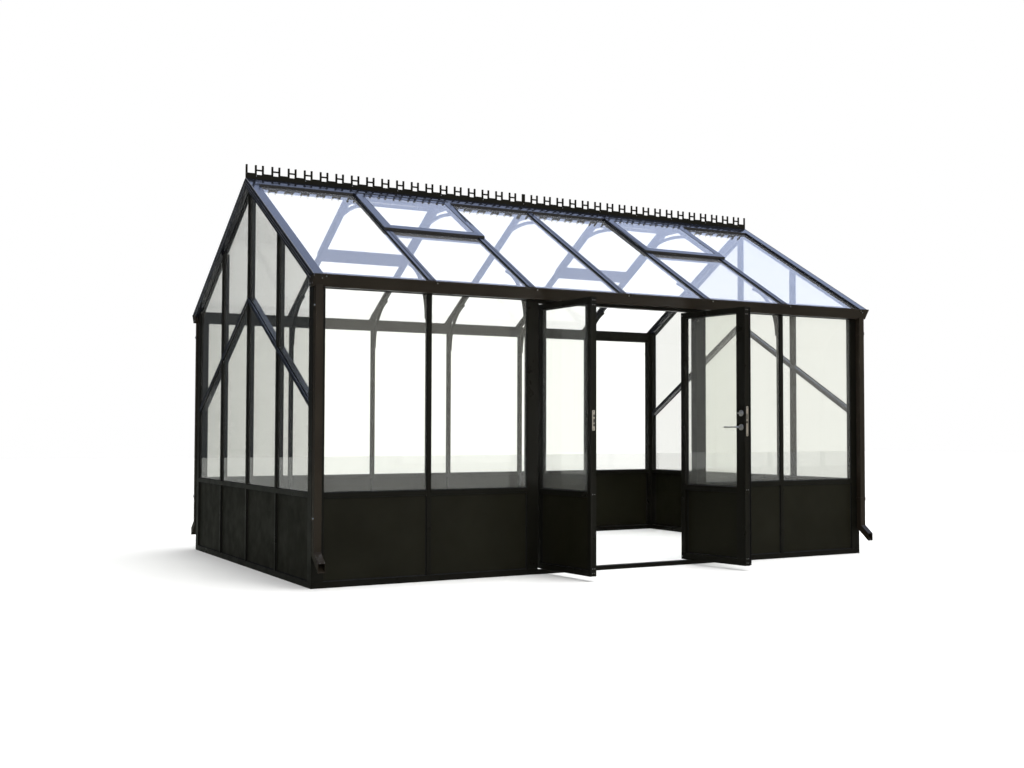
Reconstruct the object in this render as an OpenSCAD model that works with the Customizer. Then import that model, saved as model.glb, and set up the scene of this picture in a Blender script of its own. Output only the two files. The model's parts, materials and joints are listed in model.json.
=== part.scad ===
// Victorian-style glass greenhouse with a low panelled wall, double doors and a ridge cresting.
// Origin: underside of the base, on the outer face of the door wall, midway between the two doors.
// X runs along the door wall, Y runs into the house, Z is up.

/* [Plan] */
// Width of a full bay, centre to centre of the glazing bars
bay_w = 745; // [600:1:900]
// Width of the bay next to each corner, from the bar to the outer face of the house
end_bay_w = 797; // [650:1:950]
// Depth of the wall frame, from its outer face inwards
wall_t = 55; // [45:1:80]

/* [Heights] */
// Height of the base rail
base_rail_h = 40; // [30:1:80]
// Height of the top of the rail between the panels and the glass
mid_rail_top = 602; // [400:1:900]
// Height of the rail between the panels and the glass
mid_rail_h = 33; // [25:1:60]
// Height of the posts, up to the eave beam
post_h = 1905; // [1750:1:2200]
// Height of the eave beam on its outer face
eave_beam_h = 94; // [80:1:140]
// Depth of the eave beam into the house
eave_beam_t = 40; // [30:1:50]

/* [Glazing] */
// Thickness of the glass
glass_t = 4; // [3:1:6]
// Thickness of the caps that hold the glass from outside
cap_t = 12; // [8:1:20]
// Width of the caps on the wall bars
wall_cap_w = 30; // [26:1:50]
// Width of the inner box of the wall bars
wall_box_w = 22; // [18:1:24]
// Width of the web between two panes
web_w = 8; // [6:1:12]
// Depth by which a pane or panel enters its frame
bite = 5; // [3:1:6]
// Width of the square corner posts
corner_w = 80; // [65:1:120]

/* [Roof] */
// Pitch of the roof in degrees
roof_pitch = 28.7; // [24:0.1:34]
// Width of the caps on the inner rafters
rafter_cap_w = 50; // [40:1:60]
// Width of the inner rafters below the glass
rafter_box_w = 24; // [18:1:32]
// Depth of the inner rafters, square to the slope, from the top of the cap
rafter_depth = 48; // [40:1:70]
// Reach of the rafters and the roof glass past the wall
eave_reach = 45; // [35:1:55]
// Overhang of the end rafters and gutters past the gable
verge = 25; // [20:1:40]
// Width of the caps on the end rafters
verge_cap_w = 68; // [64:1:80]
// Depth of the end rafters, square to the slope
verge_depth = 60; // [55:1:80]
// Thickness of the ridge beam below its flanges
ridge_w = 40; // [30:1:60]
// Depth of the ridge beam below the crossing of the roof slopes
ridge_depth = 88; // [70:1:110]
// Width of each ridge flange along the slope
flange_w = 120; // [80:1:160]
// Thickness of the ridge flanges
flange_t = 8; // [5:1:12]

/* [Gutter] */
// Reach of the gutter lip from the wall
gutter_reach = 107; // [90:1:130]
// Width of the gutter floor
gutter_floor_w = 57; // [45:1:80]
// Height of the gutter front
gutter_h = 73; // [60:1:86]
// Thickness of the gutter metal
gutter_t = 3; // [2:1:5]
// Outer width of the square downpipes
pipe_w = 48; // [38:1:52]
// Wall thickness of the downpipes
pipe_t = 3; // [2:1:5]
// Gap between the downpipes and the wall
pipe_gap = 19; // [14:1:26]
// Distance by which the downpipes stand out past the gable
pipe_offset = 4; // [2:1:15]
// Height of the lower pipe brackets
bracket_low_z = 432; // [350:1:900]
// Distance of the upper pipe brackets below the gutter
bracket_drop = 131; // [80:1:400]
// Height at which the downpipe bends outwards
pipe_bend_z = 233; // [200:1:300]
// Reach of the outlet shoe from the wall side of the pipe
shoe_reach = 132; // [100:1:180]
// Angle of the outlet shoe from the vertical
shoe_angle = 54; // [40:1:60]

/* [Cresting] */
// Height of the solid bar under the figures
crest_bar_h = 42; // [30:1:60]
// Height of the figures above the bar
crest_leg_h = 62; // [40:1:80]
// Distance between two figures
crest_pitch = 124; // [100:1:160]
// Width of one figure
crest_w = 67; // [50:1:80]
// Width of each leg
crest_leg_w = 14; // [8:1:18]
// Thickness of the cresting
crest_t = 10; // [6:1:12]
// Height of the cross piece above the bar
crest_cross_z = 24; // [18:1:32]
// Thickness of the cross piece
crest_cross_h = 11; // [6:1:14]
// Depth of the notch under each cross piece
crest_notch = 9; // [4:1:14]

/* [Roof vents] */
// Distance in plan from the wall face to the lower edge of a vent
vent_y = 775; // [600:1:900]
// Width of the vent stiles
vent_stile_w = 62; // [56:1:90]
// Width of the vent's lower and upper rails, in plan
vent_rail_w = 56; // [30:1:70]
// Thickness of the vent frame
vent_t = 15; // [12:1:30]
// Width of the fixed bar under the vent, in plan
vent_bar_w = 36; // [24:1:36]

/* [Braces] */
// Height of the flat edge of the gusset above the arch crown
gusset_drop = 25; // [15:1:40]
// Thickness of the gussets
gusset_t = 16; // [8:1:24]
// Radius of the arch braces on their lower edge
arch_r = 1250; // [1000:10:1600]
// Height of the arch braces
brace_h = 24; // [16:1:32]
// Distance from the ridge beam down to the gusset edge and arch
arch_drop = 70; // [50:1:110]
// Radius of the knee braces at the eaves
knee_r = 420; // [300:5:480]
// Thickness of the knee braces
knee_t = 18; // [12:1:24]
// Width of the arch and knee braces along the house
brace_w = 22; // [14:1:24]
// Height at which the gable diagonals meet on the middle bar
diagonal_z = 1965; // [1800:1:2050]
// Height of a gable diagonal's outer cap, square to its slope
diagonal_cap_h = 30; // [24:1:50]
// Height of a gable diagonal's inner box
diagonal_box_h = 34; // [24:1:50]
// Depth by which the diagonals stand inside the wall bars
diagonal_proud = 4; // [1:1:12]

/* [Doors] */
// Distance from the edge of the doorway to the line of the glazing bars beside it
jamb_w = 71; // [45:1:120]
// Height of the threshold
threshold_h = 30; // [20:1:40]
// Thickness of the door header under the eave beam
header_h = 18; // [17:1:40]
// Thickness of a door leaf
leaf_t = 46; // [40:1:50]
// Distance from a leaf's hinge edge to its pivot
pivot_inset = 52; // [46:1:90]
// Clearance between a leaf and the jamb
jamb_gap = 10; // [9:1:16]
// Clearance between a leaf and the threshold or the header
leaf_gap = 5; // [5:1:10]
// Clearance between the two leaves
meeting_gap = 6; // [6:1:12]
// Width of a leaf's stiles and rails on the outer face
leaf_outer_w = 38; // [30:1:44]
// Width of the hinge stile on the inner face
hinge_stile_w = 44; // [40:1:90]
// Width of the lock stile on the inner face
lock_stile_w = 85; // [70:1:100]
// Width of the top rail on the inner face
leaf_top_rail_w = 42; // [40:1:90]
// Width of the bottom rail on the inner face
leaf_bottom_rail_w = 46; // [40:1:120]
// Distance of the leaf's middle rail below the top of the wall's middle rail
leaf_mid_drop = 12; // [0:1:30]
// Angle at which the left leaf stands open
left_open = 86; // [60:1:100]
// Angle at which the right leaf stands open
right_open = 99; // [60:1:100]
// Diameter of the pivot pins
pivot_d = 16; // [10:1:20]
// Depth of a pivot pin in the header and the threshold
pivot_bite = 12; // [6:1:15]

/* [Lock] */
// Height of the lever's axis
lever_z = 1020; // [950:1:1100]
// Distance from the closing edge of a leaf to the spindle
lock_backset = 38; // [34:1:45]
// Height of the thumb turn above the lever
turn_rise = 100; // [70:1:120]
// Length of the lever grip
lever_len = 132; // [100:1:150]
// Diameter of the lever grip
lever_d = 16; // [12:1:20]
// Distance of the grip's axis from the face of the leaf
lever_stand = 48; // [40:1:60]
// Diameter of the spindle
spindle_d = 10; // [8:1:12]
// Diameter of the round roses
rose_d = 50; // [40:1:56]
// Thickness of the round roses
rose_t = 7; // [4:1:10]
// Width of the lock and strike plates
plate_w = 22; // [18:1:26]
// Thickness of the lock and strike plates
plate_t = 2; // [1:1:4]
// Length of the lock plate
lock_plate_h = 215; // [160:1:240]
// Length of the strike plate
strike_plate_h = 135; // [100:1:180]

/* [Hidden] */

frame_color = [0.06, 0.06, 0.055];
roof_color = [0.12, 0.13, 0.16];
panel_color = [0.09, 0.09, 0.07];
glass_color = [0.85, 0.9, 0.9, 0.35];
metal_color = [0.72, 0.72, 0.7];

round_facets = 64;
arc_facets = 180;
eps = 1;

length = 2 * end_bay_w + 4 * bay_w;
width = 2 * end_bay_w + 2 * bay_w;
half_l = length / 2;
mid_y = width / 2;
far = 2 * length;
door_half = bay_w - jamb_w;
// Places of the wall bars, from the middle of the house
long_bars = [-2 * bay_w, -bay_w, 0, bay_w, 2 * bay_w];
door_bars = [-bay_w, bay_w];
side_bars = [-2 * bay_w, 2 * bay_w];
gable_bars = [mid_y - bay_w, mid_y, mid_y + bay_w];

glass_in = cap_t;
box_in = cap_t + glass_t;
mid_rail_z = mid_rail_top - mid_rail_h;
pane_edge = web_w / 2 + 1; // half the web and a thin gap

// Roof planes: depths are square to the slope, measured down from the top of the rafter caps
slope_cos = cos(roof_pitch);
slope_tan = tan(roof_pitch);
eave_z = post_h + eave_beam_h + box_in / slope_cos;
function top_z(y) = eave_z + y * slope_tan;
function deep_z(y, w) = top_z(y) - w / slope_cos;
ridge_y = mid_y - ridge_w / 2;
flange_y = mid_y - flange_w * slope_cos;
apex_z = top_z(mid_y);
// Width of the flat seat on each side of the cresting
crest_ledge = 2;
crest_seat_w = crest_t + 2 * crest_ledge;
crest_seat_z = deep_z(mid_y - crest_seat_w / 2, -flange_t);

// The leaves stand this far behind the outer face of the wall
leaf_set_in = 2;
leaf_bottom = threshold_h + leaf_gap;
leaf_top = post_h - header_h - leaf_gap;
pivot_x = door_half - jamb_gap - pivot_inset;
pivot_y = leaf_t / 2 + leaf_set_in;
leaf_reach = pivot_x - meeting_gap / 2;
leaf_glass_in = 14;
leaf_mid_top = mid_rail_top - leaf_mid_drop;
leaf_mid_z = leaf_mid_top - mid_rail_h;
leaf_mid_step = 3;
fit_gap = 0.1;
rest_gap = 0.3;
edge_gap = 4;
lock_x = leaf_reach - lock_backset;
turn_z = lever_z + turn_rise;

module block(x0, x1, y0, y1, z0, z1) {
    translate([x0, y0, z0]) cube([x1 - x0, y1 - y0, z1 - z0]);
}

// A profile drawn in Y and Z, carried along X
module along_x(x0, x1) {
    translate([x0, 0, 0]) rotate([90, 0, 90]) linear_extrude(x1 - x0) children();
}

// A bar on the front slope with plumb ends, between two depths below the cap plane
module slope_bar(x0, x1, y0, y1, w0, w1) {
    along_x(x0, x1) polygon([
        [y0, deep_z(y0, w1)],
        [y1, deep_z(y1, w1)],
        [y1, deep_z(y1, w0)],
        [y0, deep_z(y0, w0)]
    ]);
}

// The same pieces on the other side of the ridge
module opposite_slope() {
    translate([0, width, 0]) mirror([0, 1, 0]) children();
}

module both_slopes() {
    children();
    opposite_slope() children();
}

// Places pieces drawn for the front wall on the left gable: along the wall becomes Y, inwards becomes X
module on_left_gable() {
    translate([-half_l, 0, 0]) mirror([1, -1, 0]) children();
}

module on_right_gable() {
    mirror([1, 0, 0]) on_left_gable() children();
}

// Glazing bar: cap outside, web between the panes, box inside
module wall_bar_section() {
    translate([-wall_cap_w / 2, 0]) square([wall_cap_w, cap_t]);
    translate([-web_w / 2, 0]) square([web_w, box_in + eps]);
    translate([-wall_box_w / 2, box_in]) square([wall_box_w, wall_t - box_in]);
}

module wall_bar(at, top) {
    translate([at, 0, base_rail_h]) linear_extrude(top - base_rail_h) wall_bar_section();
}

// Everything above the underside of the end rafters, for trimming what stands below them
module above_verge() {
    both_slopes() along_x(-far, far) polygon([
        [-far, deep_z(-far, verge_depth)],
        [mid_y, deep_z(mid_y, verge_depth)],
        [mid_y, far],
        [-far, far]
    ]);
}

module base_rail(x0, x1) {
    difference() {
        block(x0, x1, 0, wall_t, 0, base_rail_h);
        block(x0 - eps, x1 + eps, cap_t, box_in, base_rail_h - bite, base_rail_h + eps);
    }
}

module base_rails() {
    color(frame_color) {
        base_rail(-half_l, -door_half);
        base_rail(door_half, half_l);
        opposite_slope() base_rail(-half_l, half_l);
        on_left_gable() base_rail(wall_t, width - wall_t);
        on_right_gable() base_rail(wall_t, width - wall_t);
    }
}

module threshold() {
    color(frame_color) difference() {
        block(-door_half, door_half, 0, wall_t, 0, threshold_h);
        for (side = [-1, 1])
            translate([side * pivot_x, pivot_y, threshold_h - pivot_bite])
                cylinder(d = pivot_d + 2 * fit_gap, h = pivot_bite + eps, $fn = round_facets);
    }
}

// Square corner post with a rebate for the glass on two sides, cut to the slope of the roof
module corner_post() {
    difference() {
        translate([-half_l, 0, base_rail_h]) linear_extrude(far / 2) difference() {
            square([corner_w, corner_w]);
            translate([corner_w - bite, cap_t]) square([bite + eps, glass_t]);
            translate([cap_t, corner_w - bite]) square([glass_t, bite + eps]);
            translate([wall_t, wall_t]) square([corner_w, corner_w]);
        }
        block(-far, far, -eps, eave_beam_t, post_h, far);
        block(-half_l + verge_cap_w, far, -eps, corner_w + eps, post_h, far);
        above_verge();
    }
}

module corner_posts() {
    color(frame_color) for (side = [0, 1]) mirror([side, 0, 0]) both_slopes() corner_post();
}

module front_mullions() {
    color(frame_color) for (x = side_bars) wall_bar(x, post_h);
}

module back_mullions() {
    color(frame_color) opposite_slope() for (x = long_bars) wall_bar(x, post_h);
}

module gable_mullions() {
    color(frame_color) difference() {
        on_left_gable() for (y = gable_bars) wall_bar(y, far / 2);
        above_verge();
        block(-half_l - verge + verge_cap_w, 0, ridge_y, width - ridge_y, apex_z - ridge_depth, far);
        diagonal_band(-half_l - eps, -half_l + wall_t + eps, diagonal_box_h);
    }
}

module left_gable_mullions() {
    gable_mullions();
}

module right_gable_mullions() {
    mirror([1, 0, 0]) gable_mullions();
}

module door_jamb() {
    bar_x = bay_w + wall_cap_w / 2;
    box_x = bay_w + wall_box_w / 2;
    translate([0, 0, base_rail_h]) linear_extrude(post_h - base_rail_h) {
        translate([door_half, 0]) square([bar_x - door_half, cap_t]);
        translate([door_half, 0]) square([bay_w + web_w / 2 - door_half, box_in + eps]);
        translate([door_half, box_in]) square([box_x - door_half, wall_t - box_in]);
    }
}

module door_jambs() {
    color(frame_color) for (side = [0, 1]) mirror([side, 0, 0]) door_jamb();
}

module door_header() {
    color(frame_color) difference() {
        block(-door_half, door_half, 0, wall_t, post_h - header_h, post_h);
        for (side = [-1, 1])
            translate([side * pivot_x, pivot_y, post_h - header_h - eps])
                cylinder(d = pivot_d + 2 * fit_gap, h = pivot_bite + eps, $fn = round_facets);
    }
}

// Rail between a panel and a pane, from one bar to the next
module mid_rail(x0, x1) {
    difference() {
        block(x0, x1, 0, wall_t, mid_rail_z, mid_rail_top);
        block(x0 - eps, x1 + eps, cap_t, box_in, mid_rail_top - bite, mid_rail_top + eps);
        block(x0 - eps, x1 + eps, cap_t, box_in, mid_rail_z - eps, mid_rail_z + bite);
    }
}

// Clear runs between the bars of a wall, as pairs of start and end
function runs(first, bars, last, half) = [
    for (i = [0:len(bars)]) [
        i == 0 ? first : bars[i - 1] + half,
        i == len(bars) ? last : bars[i] - half
    ]
];
front_runs = concat(
    runs(-half_l + corner_w, [-2 * bay_w], -bay_w - wall_cap_w / 2, wall_cap_w / 2),
    runs(bay_w + wall_cap_w / 2, [2 * bay_w], half_l - corner_w, wall_cap_w / 2)
);
back_runs = runs(-half_l + corner_w, long_bars, half_l - corner_w, wall_cap_w / 2);
gable_runs = runs(corner_w, gable_bars, width - corner_w, wall_cap_w / 2);
// How far a pane runs under the cap at each bar; at a corner post it enters by the bite
cap_cover = wall_cap_w / 2 - pane_edge;
function start_of(run) = run[0] - (is_corner(run[0]) ? bite : cap_cover);
function end_of(run) = run[1] + (is_corner(run[1]) ? bite : cap_cover);
function is_corner(at) = abs(abs(at) - half_l + corner_w) < eps || abs(at - corner_w) < eps
    || abs(at - width + corner_w) < eps;

module mid_rails() {
    color(frame_color) {
        for (run = front_runs) mid_rail(run[0], run[1]);
        opposite_slope() for (run = back_runs) mid_rail(run[0], run[1]);
        on_left_gable() for (run = gable_runs) mid_rail(run[0], run[1]);
        on_right_gable() for (run = gable_runs) mid_rail(run[0], run[1]);
    }
}

module panels(wall_runs) {
    color(panel_color) for (run = wall_runs)
        block(start_of(run), end_of(run), cap_t, box_in, base_rail_h - bite, mid_rail_z + bite);
}

module front_panels() {
    panels(front_runs);
}

module back_panels() {
    opposite_slope() panels(back_runs);
}

module left_gable_panels() {
    on_left_gable() panels(gable_runs);
}

module right_gable_panels() {
    on_right_gable() panels(gable_runs);
}

module panes(wall_runs, top) {
    color(glass_color) for (run = wall_runs)
        block(start_of(run), end_of(run), cap_t, box_in, mid_rail_top - bite, top);
}

module front_glass() {
    panes(front_runs, post_h);
}

module back_glass() {
    opposite_slope() panes(back_runs, post_h);
}

module gable_glass() {
    difference() {
        on_left_gable() panes(gable_runs, far / 2);
        above_verge();
        diagonal_band(-half_l, -half_l + wall_t, web_w + 2);
    }
}

module left_gable_glass() {
    gable_glass();
}

module right_gable_glass() {
    mirror([1, 0, 0]) gable_glass();
}

// Beam on the posts; its top follows the underside of the roof glass
module eave_beam() {
    along_x(-half_l + verge_cap_w - verge, half_l - verge_cap_w + verge) polygon([
        [0, post_h],
        [eave_beam_t, post_h],
        [eave_beam_t, deep_z(eave_beam_t, box_in)],
        [0, deep_z(0, box_in)]
    ]);
    for (side = [0, 1]) mirror([side, 0, 0])
        along_x(-half_l, -half_l + verge_cap_w - verge) polygon([
            [0, post_h],
            [eave_beam_t, post_h],
            [eave_beam_t, deep_z(eave_beam_t, verge_depth)],
            [0, deep_z(0, verge_depth)]
        ]);
}

module eave_beams() {
    color(frame_color) both_slopes() eave_beam();
}

// Open trough with a leaning front and closed ends
module gutter() {
    lean = (gutter_reach - gutter_floor_w) / gutter_h;
    outer = [
        [0, post_h],
        [0, post_h + gutter_h - gutter_t],
        [-gutter_reach, post_h + gutter_h],
        [-gutter_floor_w, post_h]
    ];
    inner = [
        [-gutter_t, post_h + gutter_t],
        [-gutter_t, post_h + gutter_h + eps],
        [-gutter_reach + gutter_t - lean * eps, post_h + gutter_h + eps],
        [-gutter_floor_w - lean * gutter_t + gutter_t, post_h + gutter_t]
    ];
    difference() {
        along_x(-half_l - verge, half_l + verge) polygon(outer);
        along_x(-half_l - verge + gutter_t, half_l + verge - gutter_t) polygon(inner);
    }
}

module front_gutter() {
    color(frame_color) gutter();
}

module back_gutter() {
    color(frame_color) opposite_slope() gutter();
}

// Rafter between two panes: grooved cap above, web between, box below
module rafter(x) {
    groove_w = 6;
    groove_d = 4;
    difference() {
        slope_bar(x - rafter_cap_w / 2, x + rafter_cap_w / 2, -eave_reach, ridge_y, 0, cap_t);
        slope_bar(x - groove_w / 2, x + groove_w / 2, -eave_reach - eps, ridge_y + eps, -eps, groove_d);
    }
    slope_bar(x - web_w / 2, x + web_w / 2, -eave_reach, ridge_y, cap_t, box_in);
    slope_bar(x - rafter_box_w / 2, x + rafter_box_w / 2, eave_beam_t, ridge_y, box_in, rafter_depth);
}

module front_rafters() {
    color(roof_color) for (x = long_bars) rafter(x);
}

module back_rafters() {
    color(roof_color) opposite_slope() for (x = long_bars) rafter(x);
}

// Pair of wide rafters over a gable, with a rebate for the roof glass and grooves along the outer face
module end_rafters() {
    x0 = -half_l - verge;
    x1 = x0 + verge_cap_w;
    rebate = 2 * bite;
    groove_w = 5;
    groove_d = 3;
    seat_y = mid_y - crest_seat_w / 2;
    foot_z = post_h + gutter_h;
    blunt = 2;
    foot_y = (foot_z + blunt - deep_z(0, -flange_t)) / slope_tan;
    difference() {
        along_x(x0, x1) polygon([
            [foot_y, foot_z],
            [0, foot_z],
            [0, deep_z(0, verge_depth)],
            [mid_y, deep_z(mid_y, verge_depth)],
            [width, deep_z(0, verge_depth)],
            [width, foot_z],
            [width - foot_y, foot_z],
            [width - foot_y, foot_z + blunt],
            [width - seat_y, crest_seat_z],
            [seat_y, crest_seat_z],
            [foot_y, foot_z + blunt]
        ]);
        both_slopes() {
            slope_bar(x1 - rebate, x1 + eps, foot_y - eps, mid_y, cap_t, box_in);
            slope_bar(x1 - rebate, x1 + eps, foot_y - eps, eave_beam_t, cap_t, 2 * verge_depth);
            for (w = [verge_depth / 3, 2 * verge_depth / 3])
                slope_bar(x0 - eps, x0 + groove_d, foot_y - eps, mid_y, w, w + groove_w);
        }
    }
}

module left_end_rafters() {
    color(roof_color) end_rafters();
}

module right_end_rafters() {
    color(roof_color) mirror([1, 0, 0]) end_rafters();
}

// Ridge: a deep box with a flange over the rafters on each side and a lip down to the fixed panes
module ridge_beam() {
    x0 = -half_l - verge + verge_cap_w;
    seat_y = mid_y - crest_seat_w / 2;
    lip_w = 14;
    starts = concat([x0], [for (x = long_bars) x + rafter_cap_w / 2]);
    ends = concat([for (x = long_bars) x - rafter_cap_w / 2], [-x0]);
    color(roof_color) {
        both_slopes() for (i = [0, 2, 3, 5])
            slope_bar(starts[i], ends[i], flange_y, flange_y + lip_w, -flange_t / 2, cap_t - fit_gap);
        along_x(x0, -x0) polygon([
            [ridge_y, apex_z - ridge_depth],
            [ridge_y, deep_z(ridge_y, 0)],
            [flange_y, deep_z(flange_y, 0)],
            [flange_y, deep_z(flange_y, -flange_t)],
            [seat_y, crest_seat_z],
            [width - seat_y, crest_seat_z],
            [width - flange_y, deep_z(flange_y, -flange_t)],
            [width - flange_y, deep_z(flange_y, 0)],
            [width - ridge_y, deep_z(ridge_y, 0)],
            [width - ridge_y, apex_z - ridge_depth]
        ]);
    }
}

// Cresting section: a bar with a row of two-legged figures and a post at each end
module cresting(x0, x1) {
    run = x1 - x0;
    count = floor((run - crest_w) / crest_pitch);
    first = x0 + (run - (count - 1) * crest_pitch) / 2;
    top = crest_seat_z + crest_bar_h + crest_leg_h;
    bar_top = crest_seat_z + crest_bar_h;
    y0 = mid_y - crest_t / 2;
    y1 = mid_y + crest_t / 2;
    difference() {
        union() {
            block(x0, x1, y0, y1, crest_seat_z, bar_top);
            for (x = [x0, x1 - crest_leg_w])
                block(x, x + crest_leg_w, y0, y1, crest_seat_z, top);
            for (i = [0:count - 1]) {
                x = first + i * crest_pitch;
                for (side = [-1, 1])
                    translate([x + side * (crest_w - crest_leg_w) / 2 - crest_leg_w / 2, y0, crest_seat_z])
                        cube([crest_leg_w, crest_t, top - crest_seat_z]);
                block(x - crest_w / 2, x + crest_w / 2, y0, y1,
                    bar_top + crest_cross_z - crest_cross_h / 2, bar_top + crest_cross_z + crest_cross_h / 2);
            }
        }
        for (i = [0:count - 1]) {
            x = first + i * crest_pitch;
            inner = crest_w / 2 - crest_leg_w;
            block(x - inner, x + inner, y0 - eps, y1 + eps, bar_top - crest_notch, bar_top + eps);
        }
    }
}

module left_cresting() {
    color(frame_color) cresting(-half_l - verge, 0);
}

module right_cresting() {
    color(frame_color) cresting(0, half_l + verge);
}

// Vents sit over the second bay from each end, on both slopes
vent_bays = [-1.5 * bay_w, 1.5 * bay_w];
roof_glass_end = ridge_y - edge_gap;
rafter_lines = concat([-half_l - verge + verge_cap_w - bite - pane_edge],
    long_bars, [half_l + verge - verge_cap_w + bite + pane_edge]);

module roof_panes() {
    color(glass_color) for (i = [0:len(rafter_lines) - 2]) {
        has_vent = i == 1 || i == len(rafter_lines) - 3;
        slope_bar(rafter_lines[i] + pane_edge, rafter_lines[i + 1] - pane_edge,
            -eave_reach, has_vent ? vent_y + bite : roof_glass_end, cap_t + fit_gap, box_in - fit_gap);
    }
}

module front_roof_glass() {
    roof_panes();
}

module back_roof_glass() {
    opposite_slope() roof_panes();
}

// Fixed bar between the rafters under the lower edge of each vent
module vent_crossbars() {
    half = bay_w / 2 - rafter_box_w / 2;
    color(roof_color) both_slopes() for (x = vent_bays) {
        slope_bar(x - half, x + half, vent_y + bite, vent_y + bite + vent_bar_w, box_in, rafter_depth);
        slope_bar(x - bay_w / 2 + pane_edge, x + bay_w / 2 - pane_edge,
            vent_y + bite, vent_y + bite + vent_bar_w, cap_t, box_in);
        slope_bar(x - (bay_w - rafter_cap_w) / 2, x + (bay_w - rafter_cap_w) / 2,
            vent_y + bite, vent_y + bite + vent_bar_w, 0, cap_t);
    }
}

module vent_frame(x) {
    outer = (bay_w + rafter_cap_w) / 2;
    inner = outer - vent_stile_w;
    top_y = flange_y - vent_rail_w;
    for (side = [-1, 1])
        slope_bar(x + min(side * outer, side * inner), x + max(side * outer, side * inner),
            vent_y, flange_y, -vent_t, -fit_gap);
    slope_bar(x - inner, x + inner, vent_y, vent_y + vent_rail_w, -vent_t, -fit_gap);
    slope_bar(x - inner, x + inner, top_y, flange_y, -vent_t, -fit_gap);
}

module roof_vent_frames() {
    color(roof_color) both_slopes() for (x = vent_bays) vent_frame(x);
}

module roof_vent_glass() {
    inner = (bay_w + rafter_cap_w) / 2 - vent_stile_w;
    pane_drop = 2;
    color(glass_color) both_slopes() for (x = vent_bays)
        slope_bar(x - inner, x + inner, vent_y + vent_rail_w, flange_y - vent_rail_w,
            -vent_t + pane_drop, -vent_t + pane_drop + glass_t);
}

// Plate that closes the corner between a rafter pair and the ridge beam
module ridge_gusset() {
    z1 = apex_z - ridge_depth;
    z0 = z1 - gusset_drop;
    half = (deep_z(mid_y, rafter_depth) - z0) / slope_tan;
    along_x(-gusset_t / 2, gusset_t / 2) polygon([
        [mid_y - half, z0],
        [mid_y + half, z0],
        [width - ridge_y, deep_z(ridge_y, rafter_depth)],
        [width - ridge_y, z1],
        [ridge_y, z1],
        [ridge_y, deep_z(ridge_y, rafter_depth)]
    ]);
}

module ridge_gussets() {
    color(roof_color) for (x = long_bars) translate([x, 0, 0]) ridge_gusset();
}

// Flat arch between the two rafters, cut where it meets their undersides
module arch_brace() {
    crown = apex_z - ridge_depth - arch_drop;
    along_x(-brace_w / 2, brace_w / 2) intersection() {
        translate([mid_y, crown - arch_r]) difference() {
            circle(r = arch_r + brace_h, $fn = arc_facets * 2);
            circle(r = arch_r, $fn = arc_facets * 2);
        }
        polygon([
            [mid_y, deep_z(mid_y, rafter_depth + fit_gap)],
            [mid_y - bay_w, deep_z(mid_y - bay_w, rafter_depth + fit_gap)],
            [mid_y + bay_w, deep_z(mid_y - bay_w, rafter_depth + fit_gap)]
        ]);
    }
}

module arch_braces() {
    color(roof_color) for (x = long_bars) translate([x, 0, 0]) arch_brace();
}

// Curved brace between a post and its rafter
module knee_brace() {
    seat = 3; // how far the ends enter the post's and the rafter's line
    corner_z = deep_z(wall_t, rafter_depth);
    tangent = knee_r * tan((90 - roof_pitch) / 2);
    centre = [wall_t + knee_r, corner_z - tangent];
    rafter_y = centre[0] - tangent * sin(roof_pitch);
    along_x(-brace_w / 2, brace_w / 2) intersection() {
        translate(centre) difference() {
            circle(r = knee_r + seat, $fn = arc_facets);
            circle(r = knee_r + seat - knee_t, $fn = arc_facets);
        }
        polygon([
            [wall_t, centre[1]],
            centre,
            [rafter_y, deep_z(rafter_y, rafter_depth)],
            [wall_t, corner_z]
        ]);
    }
}

module knee_braces() {
    color(frame_color) {
        // No post stands under the middle rafter, over the doorway
        for (x = concat(side_bars, door_bars)) translate([x, 0, 0]) knee_brace();
        opposite_slope() for (x = long_bars) translate([x, 0, 0]) knee_brace();
    }
}

// Band along both diagonals of a gable, of a given height square to the slope
module diagonal_band(x0, x1, h) {
    half = h / 2 / slope_cos;
    low = diagonal_z - (mid_y - corner_w) * slope_tan;
    along_x(x0, x1) polygon([
        [corner_w, low - half],
        [mid_y, diagonal_z - half],
        [width - corner_w, low - half],
        [width - corner_w, low + half],
        [mid_y, diagonal_z + half],
        [corner_w, low + half]
    ]);
}

// Diagonals of a gable, parallel to the roof: a glazing bar that crosses the upright bars
module gable_brace() {
    diagonal_band(-half_l, -half_l + cap_t, diagonal_cap_h);
    diagonal_band(-half_l + cap_t - eps, -half_l + box_in + eps, web_w);
    diagonal_band(-half_l + box_in, -half_l + wall_t + diagonal_proud, diagonal_box_h);
}

module gable_braces() {
    color(roof_color) for (side = [0, 1]) mirror([side, 0, 0]) gable_brace();
}

// Square downpipe, cut to the underside of the gutter, with a shoe that is cut plumb at its mouth
module downpipe() {
    x0 = -half_l - pipe_offset;
    difference() {
        along_x(x0, x0 + pipe_w) pipe_line(0, 0);
        along_x(x0 + pipe_t, x0 + pipe_w - pipe_t) pipe_line(pipe_t, eps);
        along_x(-far, 0) polygon([
            [eps, post_h],
            [-gutter_floor_w - fit_gap, post_h],
            [-gutter_reach - fit_gap, post_h + gutter_h],
            [eps, post_h + gutter_h]
        ]);
    }
}

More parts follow.
